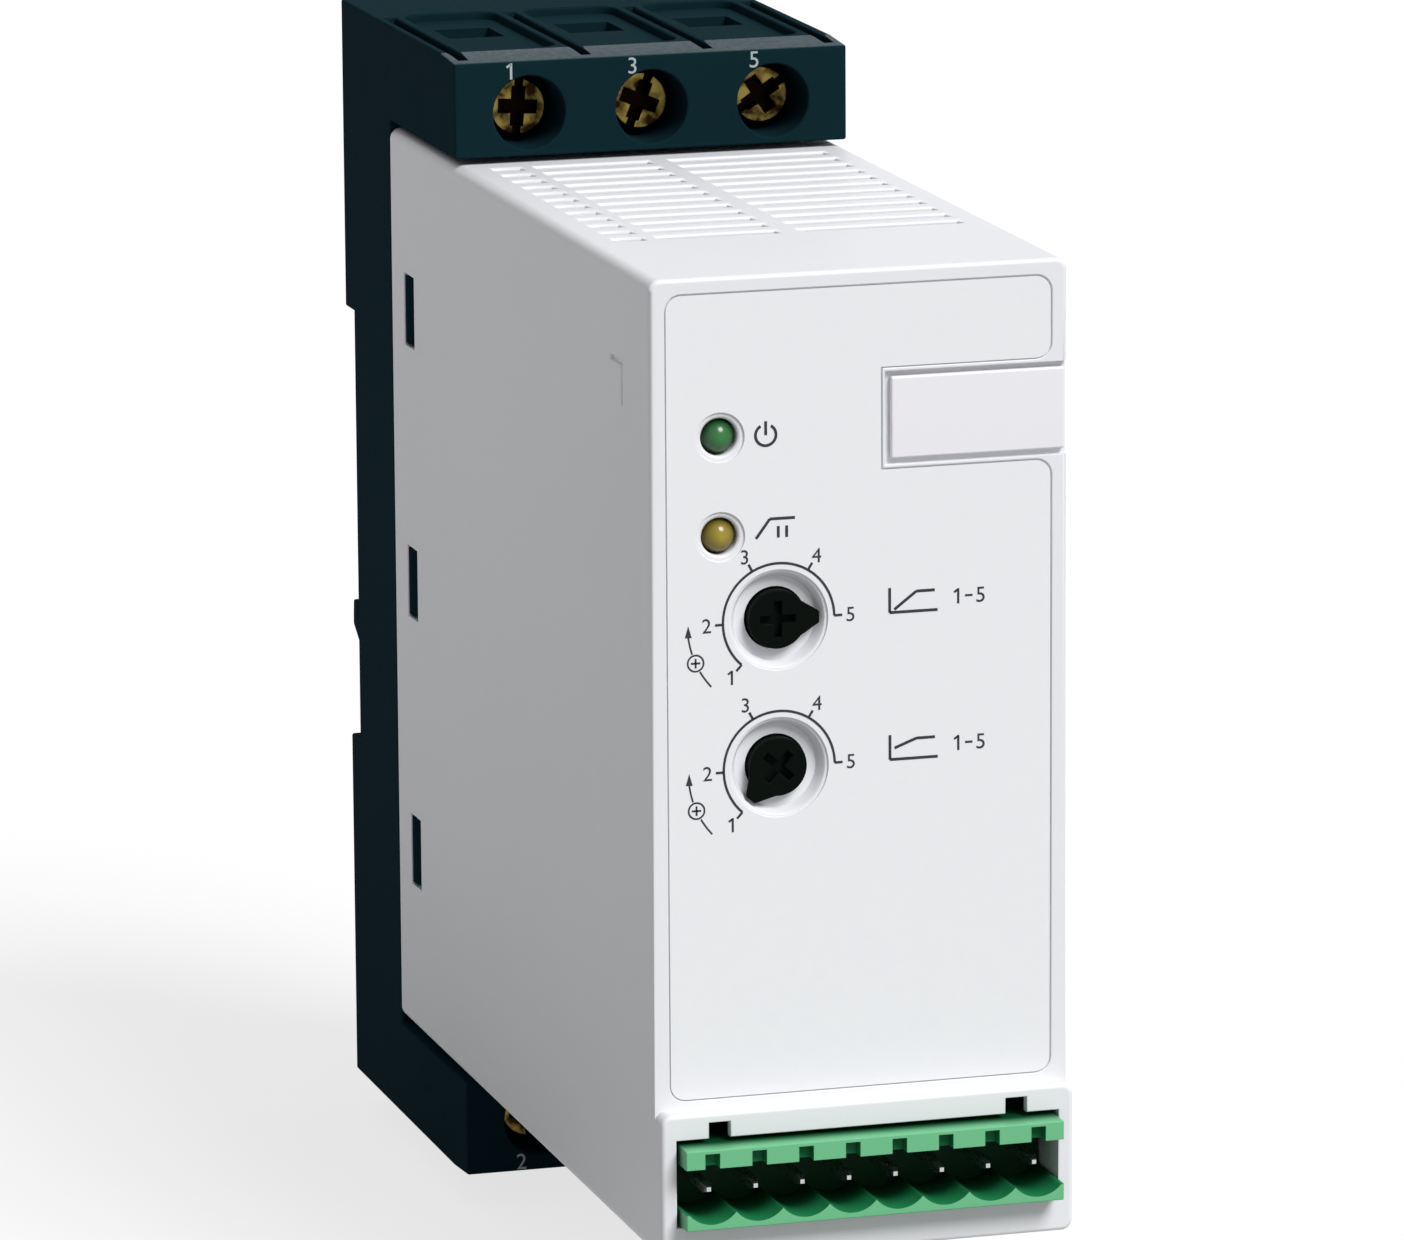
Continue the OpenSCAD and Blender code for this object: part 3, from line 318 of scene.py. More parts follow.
def worked_metal(name, tone, stain, roughness, streak_mm, depth_mm=0.01, blur=0.5, head=None):
    """Metal with streaks of streak_mm along X, Y and Z. A small blur parts tone and stain sharply.

    Where head is given, the colour is painted darker behind that plane: painted shade.
    """
    made, tree, place = start_material(name)
    stretched = add(tree, "ShaderNodeMapping", {"Vector": place,
                                                "Scale": [1 / (s * MM) for s in streak_mm]})
    streak = add(tree, "ShaderNodeTexNoise", {"Vector": stretched.outputs["Vector"], "Scale": 1.0,
                                              "Detail": 3.0})
    share = add(tree, "ShaderNodeMapRange", {"Value": streak.outputs["Fac"], "From Min": 0.5 - blur,
                                             "From Max": 0.5 + blur})
    colour = add(tree, "ShaderNodeMix",
                 {0: share.outputs["Result"], MIX_A: linear(tone), MIX_B: linear(stain)}, data_type="RGBA")
    # Painted shade in the recess, darker with the depth behind the head
    if head is not None:
        depth = add(tree, "ShaderNodeSeparateXYZ", {"Vector": place}).outputs["Y"]
        recess_shade = add(tree, "ShaderNodeMapRange", {"Value": depth, "From Min": head + UNSHADED_MM * MM,
                                                  "From Max": head + SHADE_MM * MM},
                     interpolation_type="SMOOTHSTEP")
        colour = add(tree, "ShaderNodeMix", {0: recess_shade.outputs["Result"], MIX_A: colour.outputs[MIX_RESULT],
                                             MIX_B: linear(RECESS_SHADE)}, data_type="RGBA")
    sheen = add(tree, "ShaderNodeMapRange",
                {"Value": streak.outputs["Fac"], "From Min": STREAK_LOW, "From Max": STREAK_HIGH,
                 "To Min": roughness - METAL_DRIFT, "To Max": roughness + METAL_DRIFT})
    bump = add(tree, "ShaderNodeBump", {"Height": streak.outputs["Fac"], "Distance": depth_mm * MM,
                                        "Strength": 0.4})
    end_material(tree, {"Base Color": colour.outputs[MIX_RESULT], "Roughness": sheen.outputs["Result"],
                        "Normal": bump.outputs["Normal"], "Metallic": 1.0})
    return made


metals = {
    # Tin-plated pins, drawn along Y
    "pin_tin": worked_metal("tin_plate", "#d4d6d8", "#b9bcc0", 0.3, (0.15, 2, 0.15)),
    # Extruded aluminium, with die lines along Z
    "heatsink_aluminium": worked_metal("extruded_aluminium", "#c3c7ca", "#aeb2b6", 0.42, (0.4, 0.4, 30)),
    # Turned brass standoffs
    "standoff_brass": worked_metal("turned_brass", "#c9a955", "#b3924a", 0.35, (4, 0.3, 4)),
    # Zinc-plated steel screws
    "screw_steel": worked_metal("zinc_plated_steel", "#c5c9cd", "#a6abb0", 0.38, (1.2, 0.5, 1.2)),
    # Drawn spring wire
    "spring_steel": worked_metal("spring_wire", "#b6b9bc", "#989ca0", 0.33, (0.4, 0.4, 0.15)),
    # Rolled copper bars, rolled along Z
    "bar_copper": worked_metal("rolled_copper", "#cf9560", "#b57a48", 0.35, (0.35, 1, 9)),
    # Pressed cages, zinc plated
    "cage_steel": worked_metal("pressed_zinc_steel", "#c9ccce", "#adb1b5", 0.4, (3, 0.5, 3)),
    # Passivated terminal screws, with dark patches of painted shade and painted shade in the recess
    "screw_brass": worked_metal("passivated_steel", "#a08c48", "#2c1e0e", 0.46, (2.2, 2.2, 2.2),
                                depth_mm=0.02, blur=0.09, head=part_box("line_screw_1")[0].y),
}
print(len(metals), "metals")

# %% [markdown]
# ## Circuit boards
# A board is green glass laminate. Copper tracks run under the solder mask and show as lighter lines, a bit
# raised. A brick pattern makes such lines with few settings: its mortar is the tracks, and rows of
# 2.54 mm are the usual grid.

# %% Circuit board
GRID_MM = 2.54
TRACK_MM = 0.05
solder_mask, tree, place = start_material("solder_mask_laminate")
turned = add(tree, "ShaderNodeMapping", {"Vector": place, "Rotation": (math.radians(90), 0, 0)})
tracks = add(tree, "ShaderNodeTexBrick",
             {"Vector": turned.outputs["Vector"], "Scale": 1 / (GRID_MM * MM), "Color1": linear("#1c6a3b"),
              "Color2": linear("#17603a"), "Mortar": linear("#3f8f5c"), "Mortar Size": 0.08,
              "Brick Width": 3.4, "Row Height": 1.0})
raised = add(tree, "ShaderNodeBump", {"Height": tracks.outputs["Fac"], "Distance": TRACK_MM * MM,
                                      "Strength": 0.6})
end_material(tree, {"Base Color": tracks.outputs["Color"], "Roughness": 0.32, "IOR": 1.5,
                    "Normal": raised.outputs["Normal"]})
print("solder mask on a grid of", GRID_MM, "mm")

# %% [markdown]
# ## What stands on the boards
# Relays, transformer, capacitor and the other parts inside show through the vents and when the cover is
# off. They are moulded or wound, so most take the plastic recipe, and the wound tape and the ribbon take
# bands: a wave across the piece at the width of the tape or of one wire.

# %% Parts on the boards
# A wave repeats every pi / 10 units of its coordinate
WAVE = math.pi / 10


def banded(name, tone, seam, roughness, band_mm, direction, depth_mm):
    """Bands of tape or wire, band_mm wide, that follow each other along one axis."""
    made, tree, place = start_material(name)
    bands = add(tree, "ShaderNodeTexWave", {"Vector": place, "Scale": WAVE / (band_mm * MM),
                                            "Distortion": 0.0},
                wave_type="BANDS", bands_direction=direction)
    colour = add(tree, "ShaderNodeMix", {0: bands.outputs["Fac"], MIX_A: linear(seam), MIX_B: linear(tone)},
                 data_type="RGBA")
    bump = add(tree, "ShaderNodeBump", {"Height": bands.outputs["Fac"], "Distance": depth_mm * MM,
                                        "Strength": 0.6})
    end_material(tree, {"Base Color": colour.outputs[MIX_RESULT], "Roughness": roughness,
                        "Normal": bump.outputs["Normal"]})
    return made


inside = {
    "pot_blue": moulded_plastic("blue_thermoset", "#2f5fa8", "#284f90", 0.4, 0.5, 0.01, 0.4),
    "component_black": moulded_plastic("black_epoxy", "#1d1f21", "#26292c", 0.5, 0.3, 0.015, 0.35),
    "transformer_tape": banded("polyester_tape", "#cdb54e", "#b79f3c", 0.35, 6, "Z", 0.05),
    "capacitor_sleeve": moulded_plastic("shrink_sleeve", "#24303c", "#2b3946", 0.28, 1.2, 0.006, 0.5),
    "varistor_blue": moulded_plastic("dipped_epoxy", "#2b4f9c", "#244487", 0.3, 1.5, 0.05, 0.5),
    "ribbon_grey": banded("ribbon_vinyl", "#a3a8ad", "#7f858b", 0.45, 0.7, "X", 0.12),
    "plug_cream": moulded_plastic("cream_nylon", "#e6dfcb", "#dcd4be", 0.45, 0.6, 0.01, 0.4),
}
print(len(inside), "finishes of the inner parts")

# %% [markdown]
# ## Finishes of the solids
# Each solid names a slot in its record, such as the base's or the socket's, and each slot has one
# finish. Giving them out in one loop leaves no solid plain, and a piece that replaces a solid later takes
# the same finish.

# %% Give out the finishes
finishes = {
    "base_dark": polyamide_base, "cover_white": polycarbonate_cover, "label_film": polyester_film,
    "marker_white": marker_acrylic, "lens_green": green_epoxy, "lens_yellow": yellow_epoxy,
    "knob_black": acetal_knob, "socket_green": polyamide_socket, "circuit_board": solder_mask,
    **metals, **inside,
}
slot_of = {part["node"]: part["material_slot"] for part in frame["record"]["subparts"]}
for node, solid in frame["nodes"].items():
    solid.data.materials.clear()
    solid.data.materials.append(finishes[slot_of[node]])
print(len(slot_of), "solids in", len(finishes), "finishes")

# %% [markdown]
# ## Rounded copies
# No moulded edge is sharp: it catches a thin line of light. A Bevel modifier would round every edge
# alike, so a copy of the solid is rounded here by a bevel operator that takes only the edges it is
# given. The copy's loose triangles are merged first, and flat fans of them are dissolved, so that the
# bevel meets clean faces. The triangles bring stored normals of their own, which no longer fit after
# that, so they are removed. Weighted normals then keep the large faces flat beside the small round ones.

# %% Helpers for rounded copies
MERGE = 0.002 * MM
FLAT = math.radians(0.3)
LEAST_TURN = math.radians(35)


def solid_copy(node):
    """A solid's own mesh as a bmesh of merged, flat faces."""
    bm = bmesh.new()
    bm.from_mesh(frame["nodes"][node].data)
    bmesh.ops.remove_doubles(bm, verts=bm.verts, dist=MERGE)
    bmesh.ops.dissolve_limit(bm, angle_limit=FLAT, verts=bm.verts, edges=bm.edges)
    return bm


def round_edges(bm, radius, wanted, segments=2):
    """Rounds the outward edges that turn by more than LEAST_TURN and whose middle is wanted."""
    picked = [e for e in bm.edges if e.is_manifold and e.is_convex
              and e.calc_face_angle(0) > LEAST_TURN
              and wanted((e.verts[0].co + e.verts[1].co) / 2)]
    bmesh.ops.bevel(bm, geom=picked, offset=radius, offset_type="OFFSET", segments=segments, profile=0.5,
                    affect="EDGES", clamp_overlap=False, material=-1)
    return len(picked)


print("copies are merged within", round(MERGE / MM, 4), "mm")

# %% Helpers for pieces
CREASE = math.radians(50)
NEAR = 0.02 * MM


def piece(name, bm, slot, *nodes, body="housing", finish=None):
    """Turns a bmesh into a piece that rides on a body, and stands for the solids named."""
    mesh = bpy.data.meshes.new(name)
    bm.to_mesh(mesh)
    bm.free()
    stored = mesh.attributes.get("custom_normal")
    if stored:
        mesh.attributes.remove(stored)
    mesh.shade_smooth()
    mesh.set_sharp_from_angle(angle=CREASE)
    mesh.materials.append(finish or finishes[slot])
    made = bpy.data.objects.new(name, mesh)
    bpy.context.scene.collection.objects.link(made)
    even = made.modifiers.new("even_shading", "WEIGHTED_NORMAL")
    even.keep_sharp = True
    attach(made, body)
    if nodes:
        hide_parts(*nodes)
    print(name, "has", len(mesh.polygons), "faces")
    return made


def on(value, *planes):
    """Whether a coordinate lies on one of these planes."""
    return any(abs(value - plane) < NEAR for plane in planes)


print("edges that turn by more than", round(math.degrees(CREASE)), "degrees stay sharp")

# %% [markdown]
# ## The cover
# The cover is one moulding with thin walls. Its long edges are round already, and its front edges are
# softened by half a millimetre, which draws the pale line along the top of the front. The lips of the
# vents are rounded a little less, so that each slot shows as a bright line. Snap windows, lamp holes and
# the socket's opening were cut by sharp steel in the mould, so they get much less. The small corner mark on
# the left side was engraved, so its groove opens outwards and its slopes catch the light.

# %% Planes of the cover
# The film lies this far behind the front, and the step for the socket begins this far below the film
LABEL_SINK = 0.05 * MM
LABEL_FOOT = 0.9 * MM
cover_low, cover_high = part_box("front_cover")
label_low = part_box("front_label")[0]
film_y = label_low.y
front_y = film_y - LABEL_SINK
step_y = cover_low.y
seam_y = cover_high.y
step_top = label_low.z - LABEL_FOOT
block_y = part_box("base")[0].y
print("front, step and seam in mm:", [round(y / MM, 2) for y in (front_y, step_y, seam_y)])

# %% Edges of the cover
# Width of the rim, depth of the shallow recesses in the front, and way from the front to the vents
EDGE_BAND = 1.4 * MM
RECESS_DEEP = 0.6 * MM
TO_VENTS = 20 * MM
FRONT_R, VENT_R, MARK_R, OPENING_R = 0.5 * MM, 0.35 * MM, 0.18 * MM, 0.12 * MM


def on_rim(p):
    """Whether a point lies within EDGE_BAND of the cover's outline, seen from the front."""
    return (cover_high.x - abs(p.x) < EDGE_BAND or cover_high.z - p.z < EDGE_BAND
            or p.z - cover_low.z < EDGE_BAND)


def front_edge(p):
    """Whether a point lies on the outer edges of the front or of its step."""
    on_front = on(p.y, front_y) and on_rim(p) and p.z > step_top + NEAR
    on_step = on(p.y, step_y) and (on_rim(p) or on(p.z, step_top))
    return on_front or on_step


def opening_edge(p):
    """Whether a point lies on a face of the cover, or on the lip of a recess in its front."""
    on_ends = on(p.z, cover_low.z, cover_high.z) and p.y > front_y + EDGE_BAND
    on_sides = on(abs(p.x), cover_high.x) and p.y > front_y + EDGE_BAND
    on_face = on(p.y, step_y, front_y) or on(p.y, seam_y)
    in_recess = front_y < p.y < front_y + RECESS_DEEP and not on_rim(p)
    return on_ends or on_sides or on_face or in_recess


def vent_edge(p):
    """Whether a point lies on the top or bottom wall where the vents are."""
    return on(p.z, cover_low.z, cover_high.z) and front_y + TO_VENTS < p.y < block_y


def mark_edge(p):
    """Whether a point lies on the left wall where the corner mark is."""
    return on(p.x, cover_low.x) and front_y + EDGE_BAND < p.y < block_y


cover = solid_copy("front_cover")
print(round_edges(cover, FRONT_R, front_edge, segments=3), "front edges")
print(round_edges(cover, VENT_R, vent_edge), "edges of vents")
print(round_edges(cover, MARK_R, mark_edge, segments=1), "edges of the side mark")
print(round_edges(cover, OPENING_R, lambda p: opening_edge(p) and not (vent_edge(p) or mark_edge(p))),
      "edges of openings")
piece("cover_moulding", cover, "cover_white", "front_cover")

# %% [markdown]
# ## The base
# The dark base carries both terminal blocks and hooks on the rail. Only its outer edges are rounded:
# the chambers inside stay as they are, because nobody sees them and the cages must run free. The slightly
# sloping strips along the front of the blocks, known by their normals, get the second finish: glossier,
# and painted lighter as a painted sheen.

# %% Base
BASE_R = 0.25 * MM
# A strip's normal leans forward by at least STRIP_LEAN and is otherwise nearly upright
STRIP_LEAN, STRIP_UPRIGHT = 0.03, 0.9
base_low, base_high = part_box("base")


def outer_edge(p):
    """Whether a point lies on one of the base's outer faces."""
    on_sides = on(abs(p.x), base_high.x)
    on_ends = on(p.z, base_low.z, base_high.z)
    on_faces = on(p.y, block_y, base_high.y)
    return on_sides or on_ends or on_faces


base = solid_copy("base")
# Faces that lean up and forward take the finish with painted sheen
for face in base.faces:
    face.material_index = int(abs(face.normal.z) > STRIP_UPRIGHT and face.normal.y < -STRIP_LEAN)
print(round_edges(base, BASE_R, outer_edge), "outer edges")
piece("base_moulding", base, "base_dark", "base").data.materials.append(painted_sheen_polyamide)

# %% [markdown]
# ## Marker plate, clip and knobs
# These small mouldings take the same treatment over all their outward edges, each with a radius to its
# size, so one loop makes them all.

# %% Small mouldings
for name, node, slot, radius, body in (
        ("marker_insert", "marker_plate", "marker_white", 0.25 * MM, "housing"),
        ("clip_moulding", "rail_clip", "base_dark", 0.2 * MM, "rail_clip"),
        ("start_time_pointer", "start_time_knob", "knob_black", 0.15 * MM, "start_time_knob"),
        ("voltage_pointer", "voltage_knob", "knob_black", 0.15 * MM, "voltage_knob")):
    copy = solid_copy(node)
    round_edges(copy, radius, lambda p: True)
    piece(name, copy, slot, node, body=body)

# %% [markdown]
# ## Control socket
# The socket is rounded along its outer box only: its ridges between the poles are moulded sharp. A face
# that doesn't lie on that box belongs to the mouth or a groove, and takes the green with darker painted shade.

# %% Control socket
SOCKET_R = 0.15 * MM
socket_low, socket_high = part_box("control_header")


def outer_box_edge(p):
    """Whether a point lies where two faces of the socket's outer box meet."""
    planes = (on(p.x, socket_low.x, socket_high.x), on(p.y, socket_low.y),
              on(p.z, socket_low.z, socket_high.z))
    return sum(planes) > 1


def on_outer_box(face):
    """Whether a face lies on the socket's outer box."""
    middle = face.calc_center_median()
    return (on(middle.x, socket_low.x, socket_high.x) or on(middle.y, socket_low.y, socket_high.y)
            or on(middle.z, socket_low.z, socket_high.z))


socket = solid_copy("control_header")
for face in socket.faces:
    # Faces of the mouth and grooves take the finish with darker painted shade
    face.material_index = 0 if on_outer_box(face) else 1
round_edges(socket, SOCKET_R, outer_box_edge)
piece("socket_moulding", socket, "socket_green", "control_header").data.materials.append(mouth_painted_shade)

# %% [markdown]
# ## Terminal screws
# The terminal screws have a slot and a cross recess, so that a flat or a cross-head driver fits. The rim
# and the recess are broken by a small bevel. Each screw turns on its own body.

# %% Terminal screws
SCREW_R = 0.12 * MM
POLES = [f"{side}_{{}}_{pole}" for side in ("line", "load") for pole in (1, 2, 3)]
for pole in POLES:
    node = pole.format("screw")
    head_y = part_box(node)[0].y
    screw = solid_copy(node)
    round_edges(screw, SCREW_R, lambda p: on(p.y, head_y))
    piece(pole.format("turned_screw"), screw, "screw_brass", node, body=node)

# %% [markdown]
# ## Lamp lenses
# A lens is round about its axis, so half of its outline is drawn and spun a full turn: dome,
# barrel and flange. Two leads, made as slim boxes, run back to the control board.

# %% Lamp lenses
FLANGE_OUT = 0.3 * MM
FLANGE_T = 1.0 * MM
LENS_LEN = 6.3 * MM
LEAD_W = 0.6 * MM
LEAD_X = 1.27 * MM
DOME_ANGLES = range(0, 91, 10)
LENS_STEPS = 40
WELD = 0.001 * MM


def lamp(name, node, slot):
    """A lens with its leads in the place of a lamp's solid."""
    low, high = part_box(node)
    middle = Vector(((low.x + high.x) / 2, 0, (low.z + high.z) / 2))
    radius = (high.x - low.x) / 2 - FLANGE_OUT
    foot = low.y + LENS_LEN
    dome = [(radius * math.sin(a), low.y + radius * (1 - math.cos(a)))
            for a in map(math.radians, DOME_ANGLES)]
    barrel = [(radius, foot - FLANGE_T), (radius + FLANGE_OUT, foot - FLANGE_T),
              (radius + FLANGE_OUT, foot), (0, foot)]
    bm = bmesh.new()
    points = [bm.verts.new((middle.x + r, y, middle.z)) for r, y in dome + barrel]
    lines = [bm.edges.new(pair) for pair in zip(points, points[1:])]
    bmesh.ops.spin(bm, geom=points + lines, cent=middle, axis=(0, 1, 0), angle=math.tau,
                   steps=LENS_STEPS, use_merge=True)
    bmesh.ops.remove_doubles(bm, verts=bm.verts, dist=WELD)
    for x in (-LEAD_X, LEAD_X):
        place = Matrix.Translation((middle.x + x, (foot + high.y) / 2, middle.z))
        size = Matrix.Diagonal((LEAD_W, high.y - foot, LEAD_W, 1))
        bmesh.ops.create_cube(bm, size=1, matrix=place @ size)
    bmesh.ops.recalc_face_normals(bm, faces=bm.faces)
    return piece(name, bm, slot, node)


lamp("power_lens", "power_led", "lens_green")
lamp("bypass_lens", "bypass_led", "lens_yellow")

# %% [markdown]
# ## Pins of the control socket
# A header pin is drawn square wire with a tip pressed to a blunt pyramid, so that the plug finds it.
# Each pin is a stretched cube. Its front face is extruded by the length of the tip and scaled down.

# %% Socket pins
PIN_W = 1 * MM
TIP_LEN = 0.9 * MM
TIP_W = 0.45 * MM
PIN_PITCH = 5.08 * MM
PINS = 8
pins_low, pins_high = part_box("header_pins")
shoulder_y = pins_low.y + TIP_LEN
pins = bmesh.new()
for i in range(PINS):
    x = (i - (PINS - 1) / 2) * PIN_PITCH
    place = Matrix.Translation((x, (shoulder_y + pins_high.y) / 2, (pins_low.z + pins_high.z) / 2))
    size = Matrix.Diagonal((PIN_W, pins_high.y - shoulder_y, PIN_W, 1))
    bmesh.ops.create_cube(pins, size=1, matrix=place @ size)
shoulders = [f for f in pins.faces if on(f.calc_center_median().y, shoulder_y)]
for tip in bmesh.ops.extrude_discrete_faces(pins, faces=shoulders)["faces"]:
    to_middle = Matrix.Translation(-tip.calc_center_median())
    bmesh.ops.scale(pins, verts=tip.verts[:], vec=(TIP_W / PIN_W, 1, TIP_W / PIN_W), space=to_middle)
    bmesh.ops.translate(pins, verts=tip.verts[:], vec=(0, -TIP_LEN, 0))
piece("socket_pins", pins, "pin_tin", "header_pins")

# %% [markdown]
# ## Spring of the rail clip
# The clip is held up by a coil spring of thin wire. A small circle, spun about the coil's axis with
# a rise at each step, sweeps the wire.

# %% Clip spring
TURNS = 8
STEPS_PER_TURN = 24
WIRE_R = 0.2 * MM
WIRE_SIDES = 10


def joint(name):
    """The record of one joint."""
    return next(j for j in frame["joints"] if j["name"] == name)


spring_low, spring_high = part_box("clip_spring")
coil_x = (spring_low.x + spring_high.x) / 2
coil_y = (spring_low.y + spring_high.y) / 2
coil_r = (spring_high.x - spring_low.x) / 2 - WIRE_R
spring_len = spring_high.z - spring_low.z
steps = TURNS * STEPS_PER_TURN
spring = bmesh.new()
start = Matrix.Translation((coil_x + coil_r, coil_y, spring_low.z + WIRE_R)) @ Matrix.Rotation(
    math.radians(90), 4, "X")
wire = bmesh.ops.create_circle(spring, segments=WIRE_SIDES, radius=WIRE_R, matrix=start)["verts"]
rims = list({e for v in wire for e in v.link_edges})
bmesh.ops.spin(spring, geom=wire + rims, cent=(coil_x, coil_y, 0), axis=(0, 0, 1), angle=math.tau * TURNS,
               steps=steps, dvec=(0, 0, (spring_len - 2 * WIRE_R) / steps))
bmesh.ops.holes_fill(spring, edges=[e for e in spring.edges if e.is_boundary])
bmesh.ops.recalc_face_normals(spring, faces=spring.faces)
coil = piece("coil_spring", spring, "spring_steel", "clip_spring")
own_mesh(coil)

# %% [markdown]
# ## Print on the front
# The marks on the film are strokes, arcs and numbers. Small functions draw them as thin solids that stand
# on a face of the device: a stroke is a flat box, an arc is a small outline spun part of a turn, and a
# number comes from Blender's own font, made a mesh before it is put in place. The font's 1 has no flag,
# so a 1 is drawn with strokes, and so is a dash.

# %% Helpers for strokes and arcs
INK = 0.03 * MM
LINE_W = 0.26 * MM
ARC_STEP = 5
LEAST_STEPS = 6


def stroke(bm, a, b, y, width=LINE_W):
    """A straight stroke between two points (x, z) of the face at y."""
    a, b = Vector(a), Vector(b)
    run = b - a
    place = Matrix.Translation(((a.x + b.x) / 2, y - INK / 2, (a.y + b.y) / 2))
    turn = Matrix.Rotation(-math.atan2(run.y, run.x), 4, "Y")
    bmesh.ops.create_cube(bm, size=1, matrix=place @ turn @ Matrix.Diagonal((run.length, INK, width, 1)))


def arc(bm, centre, radius, start_deg, end_deg, y, width=LINE_W):
    """An arc about a point (x, z), counted anticlockwise from the right."""
    a = math.radians(start_deg)
    outline = [(radius + across, y - deep) for across, deep in
               ((-width / 2, 0), (width / 2, 0), (width / 2, INK), (-width / 2, INK))]
    points = [bm.verts.new((centre[0] + r * math.cos(a), depth, centre[1] + r * math.sin(a)))
              for r, depth in outline]
    lines = [bm.edges.new((points[i - 1], points[i])) for i in range(4)]
    sweep = end_deg - start_deg
    bmesh.ops.spin(bm, geom=points + lines, cent=(centre[0], y, centre[1]), axis=(0, -1, 0),
                   angle=math.radians(sweep), steps=max(LEAST_STEPS, round(abs(sweep) / ARC_STEP)),
                   use_merge=sweep == 360)


print("ink is", round(INK / MM, 3), "mm thick")

# %% Helpers for numbers
# Strokes from point to point with a width, all as shares of a sign's height from its middle
STROKES = {
    "1": (((0.08, -0.5), (0.08, 0.5), 0.15), ((0.05, 0.43), (-0.2, 0.25), 0.14)),
    "-": (((-0.25, 0), (0.25, 0), 0.14),),
}
ADVANCE = 0.8
INK_WELD = 0.0001 * MM


def number(bm, text, centre, height, y):
    """A number of this height, centred on a point (x, z) of the face at y."""
    words = bpy.data.curves.new("number", "FONT")
    words.body = text
    words.extrude = INK / 2
    holder = bpy.data.objects.new("number", words)
    bpy.context.scene.collection.objects.link(holder)
    flat = bpy.data.meshes.new_from_object(holder.evaluated_get(bpy.context.evaluated_depsgraph_get()))
    corners = [v.co for v in flat.vertices]
    low, high = (Vector((f(c.x for c in corners), f(c.y for c in corners), 0)) for f in (min, max))
    scale = height / (high.y - low.y)
    flat.transform(Matrix.Translation((centre[0], y - INK / 2, centre[1]))
                   @ Matrix.Rotation(math.radians(90), 4, "X")
                   @ Matrix.Diagonal((scale, scale, 1, 1)) @ Matrix.Translation(-(low + high) / 2))
    bm.from_mesh(flat)
    bpy.data.meshes.remove(flat)
    bpy.data.objects.remove(holder)
    bpy.data.curves.remove(words)


def mark(bm, text, centre, height, y):
    """A row of signs of this height, centred on a point (x, z) of the face at y."""
    for i, sign in enumerate(text):
        middle = Vector((centre[0] + (i - (len(text) - 1) / 2) * ADVANCE * height, centre[1]))
        for a, b, width in STROKES.get(sign, ()):
            stroke(bm, middle + height * Vector(a), middle + height * Vector(b), y, height * width)
        if sign not in STROKES:
            number(bm, sign, middle, height, y)


def end_print(name, bm, slot, finish):
    """Closes the ends of arcs and turns a print into a piece on the housing."""
    bmesh.ops.remove_doubles(bm, verts=bm.verts, dist=INK_WELD)
    bmesh.ops.holes_fill(bm, edges=[e for e in bm.edges if e.is_boundary])
    bmesh.ops.recalc_face_normals(bm, faces=bm.faces)
    return piece(name, bm, slot, finish=finish)


print("drawn with strokes:", *STROKES)

# %% [markdown]
# ## Dial scales
# Each dial has an arc of five steps, a tick and a number at each, and at the lower left a curved arrow with
# a crossed circle: the sign for turning with a cross-head driver.

# %% Dial scales
SCALE_R = 6.0 * MM
TICK = 0.85 * MM
NUMBER_R = 7.75 * MM
NUMBER_H = 1.5 * MM
SCALE_STEPS = (228, 181, 118, 58, 1)
ARROW_R = 9.8 * MM
ARROW_SPAN = (187, 222)
ARROW_W = 0.18 * MM
HEAD_R = 0.7 * MM
HEAD_SHAPE = Matrix.Diagonal((0.6, 1.2, 1, 1))
SIGN_ANGLE = 204
SIGN_GAP = 6
SIGN_R = 0.85 * MM
CROSS_R = 0.5 * MM
CROSS_W = 0.2 * MM


def around(centre, radius, angle):
    """The point (x, z) at a radius and an angle about a centre."""
    a = math.radians(angle)
    return centre[0] + radius * math.cos(a), centre[1] + radius * math.sin(a)


def dial_centre(knob):
    """Where a knob's axis meets the front, as (x, z)."""
    x, _, z = joint(knob)["pos_m"]
    return x, z


for name, knob in (("start_time_scale", "start_time_turn"), ("voltage_scale", "voltage_turn")):
    dial = dial_centre(knob)
    bm = bmesh.new()
    arc(bm, dial, SCALE_R, SCALE_STEPS[-1], SCALE_STEPS[0], film_y)
    for i, angle in enumerate(SCALE_STEPS):
        stroke(bm, around(dial, SCALE_R, angle), around(dial, SCALE_R + TICK, angle), film_y)
        mark(bm, str(i + 1), around(dial, NUMBER_R, angle), NUMBER_H, film_y)
    sign = around(dial, ARROW_R, SIGN_ANGLE)
    arc(bm, dial, ARROW_R, ARROW_SPAN[0], SIGN_ANGLE - SIGN_GAP, film_y, ARROW_W)
    arc(bm, dial, ARROW_R, SIGN_ANGLE + SIGN_GAP, ARROW_SPAN[1], film_y, ARROW_W)
    arc(bm, sign, SIGN_R, 0, 360, film_y, ARROW_W)
    for angle in (0, 90):
        stroke(bm, around(sign, CROSS_R, angle), around(sign, CROSS_R, angle + 180), film_y, CROSS_W)
    tip = around(dial, ARROW_R, ARROW_SPAN[0])
    place = Matrix.Translation((tip[0], film_y - INK / 2, tip[1] + HEAD_R / 2)) @ Matrix.Rotation(
        math.radians(90), 4, "X")
    bmesh.ops.create_cone(bm, cap_ends=True, segments=3, radius1=HEAD_R, radius2=HEAD_R, depth=INK,
                          matrix=place @ HEAD_SHAPE)
    end_print(name, bm, "label_film", black_ink)

# %% [markdown]
# ## Pictograms
# Beside the lamps and dials stand signs without words: the sign for power, a ramp that has reached its
# top, a ramp over time, and a ramp that starts with a step. A ramp sign is a row of strokes.

# %% Pictograms
SIGN_W = 0.3 * MM
POWER_R, POWER_STEM = 1.1 * MM, 1.45 * MM
POWER_SPAN = (-240, 60)
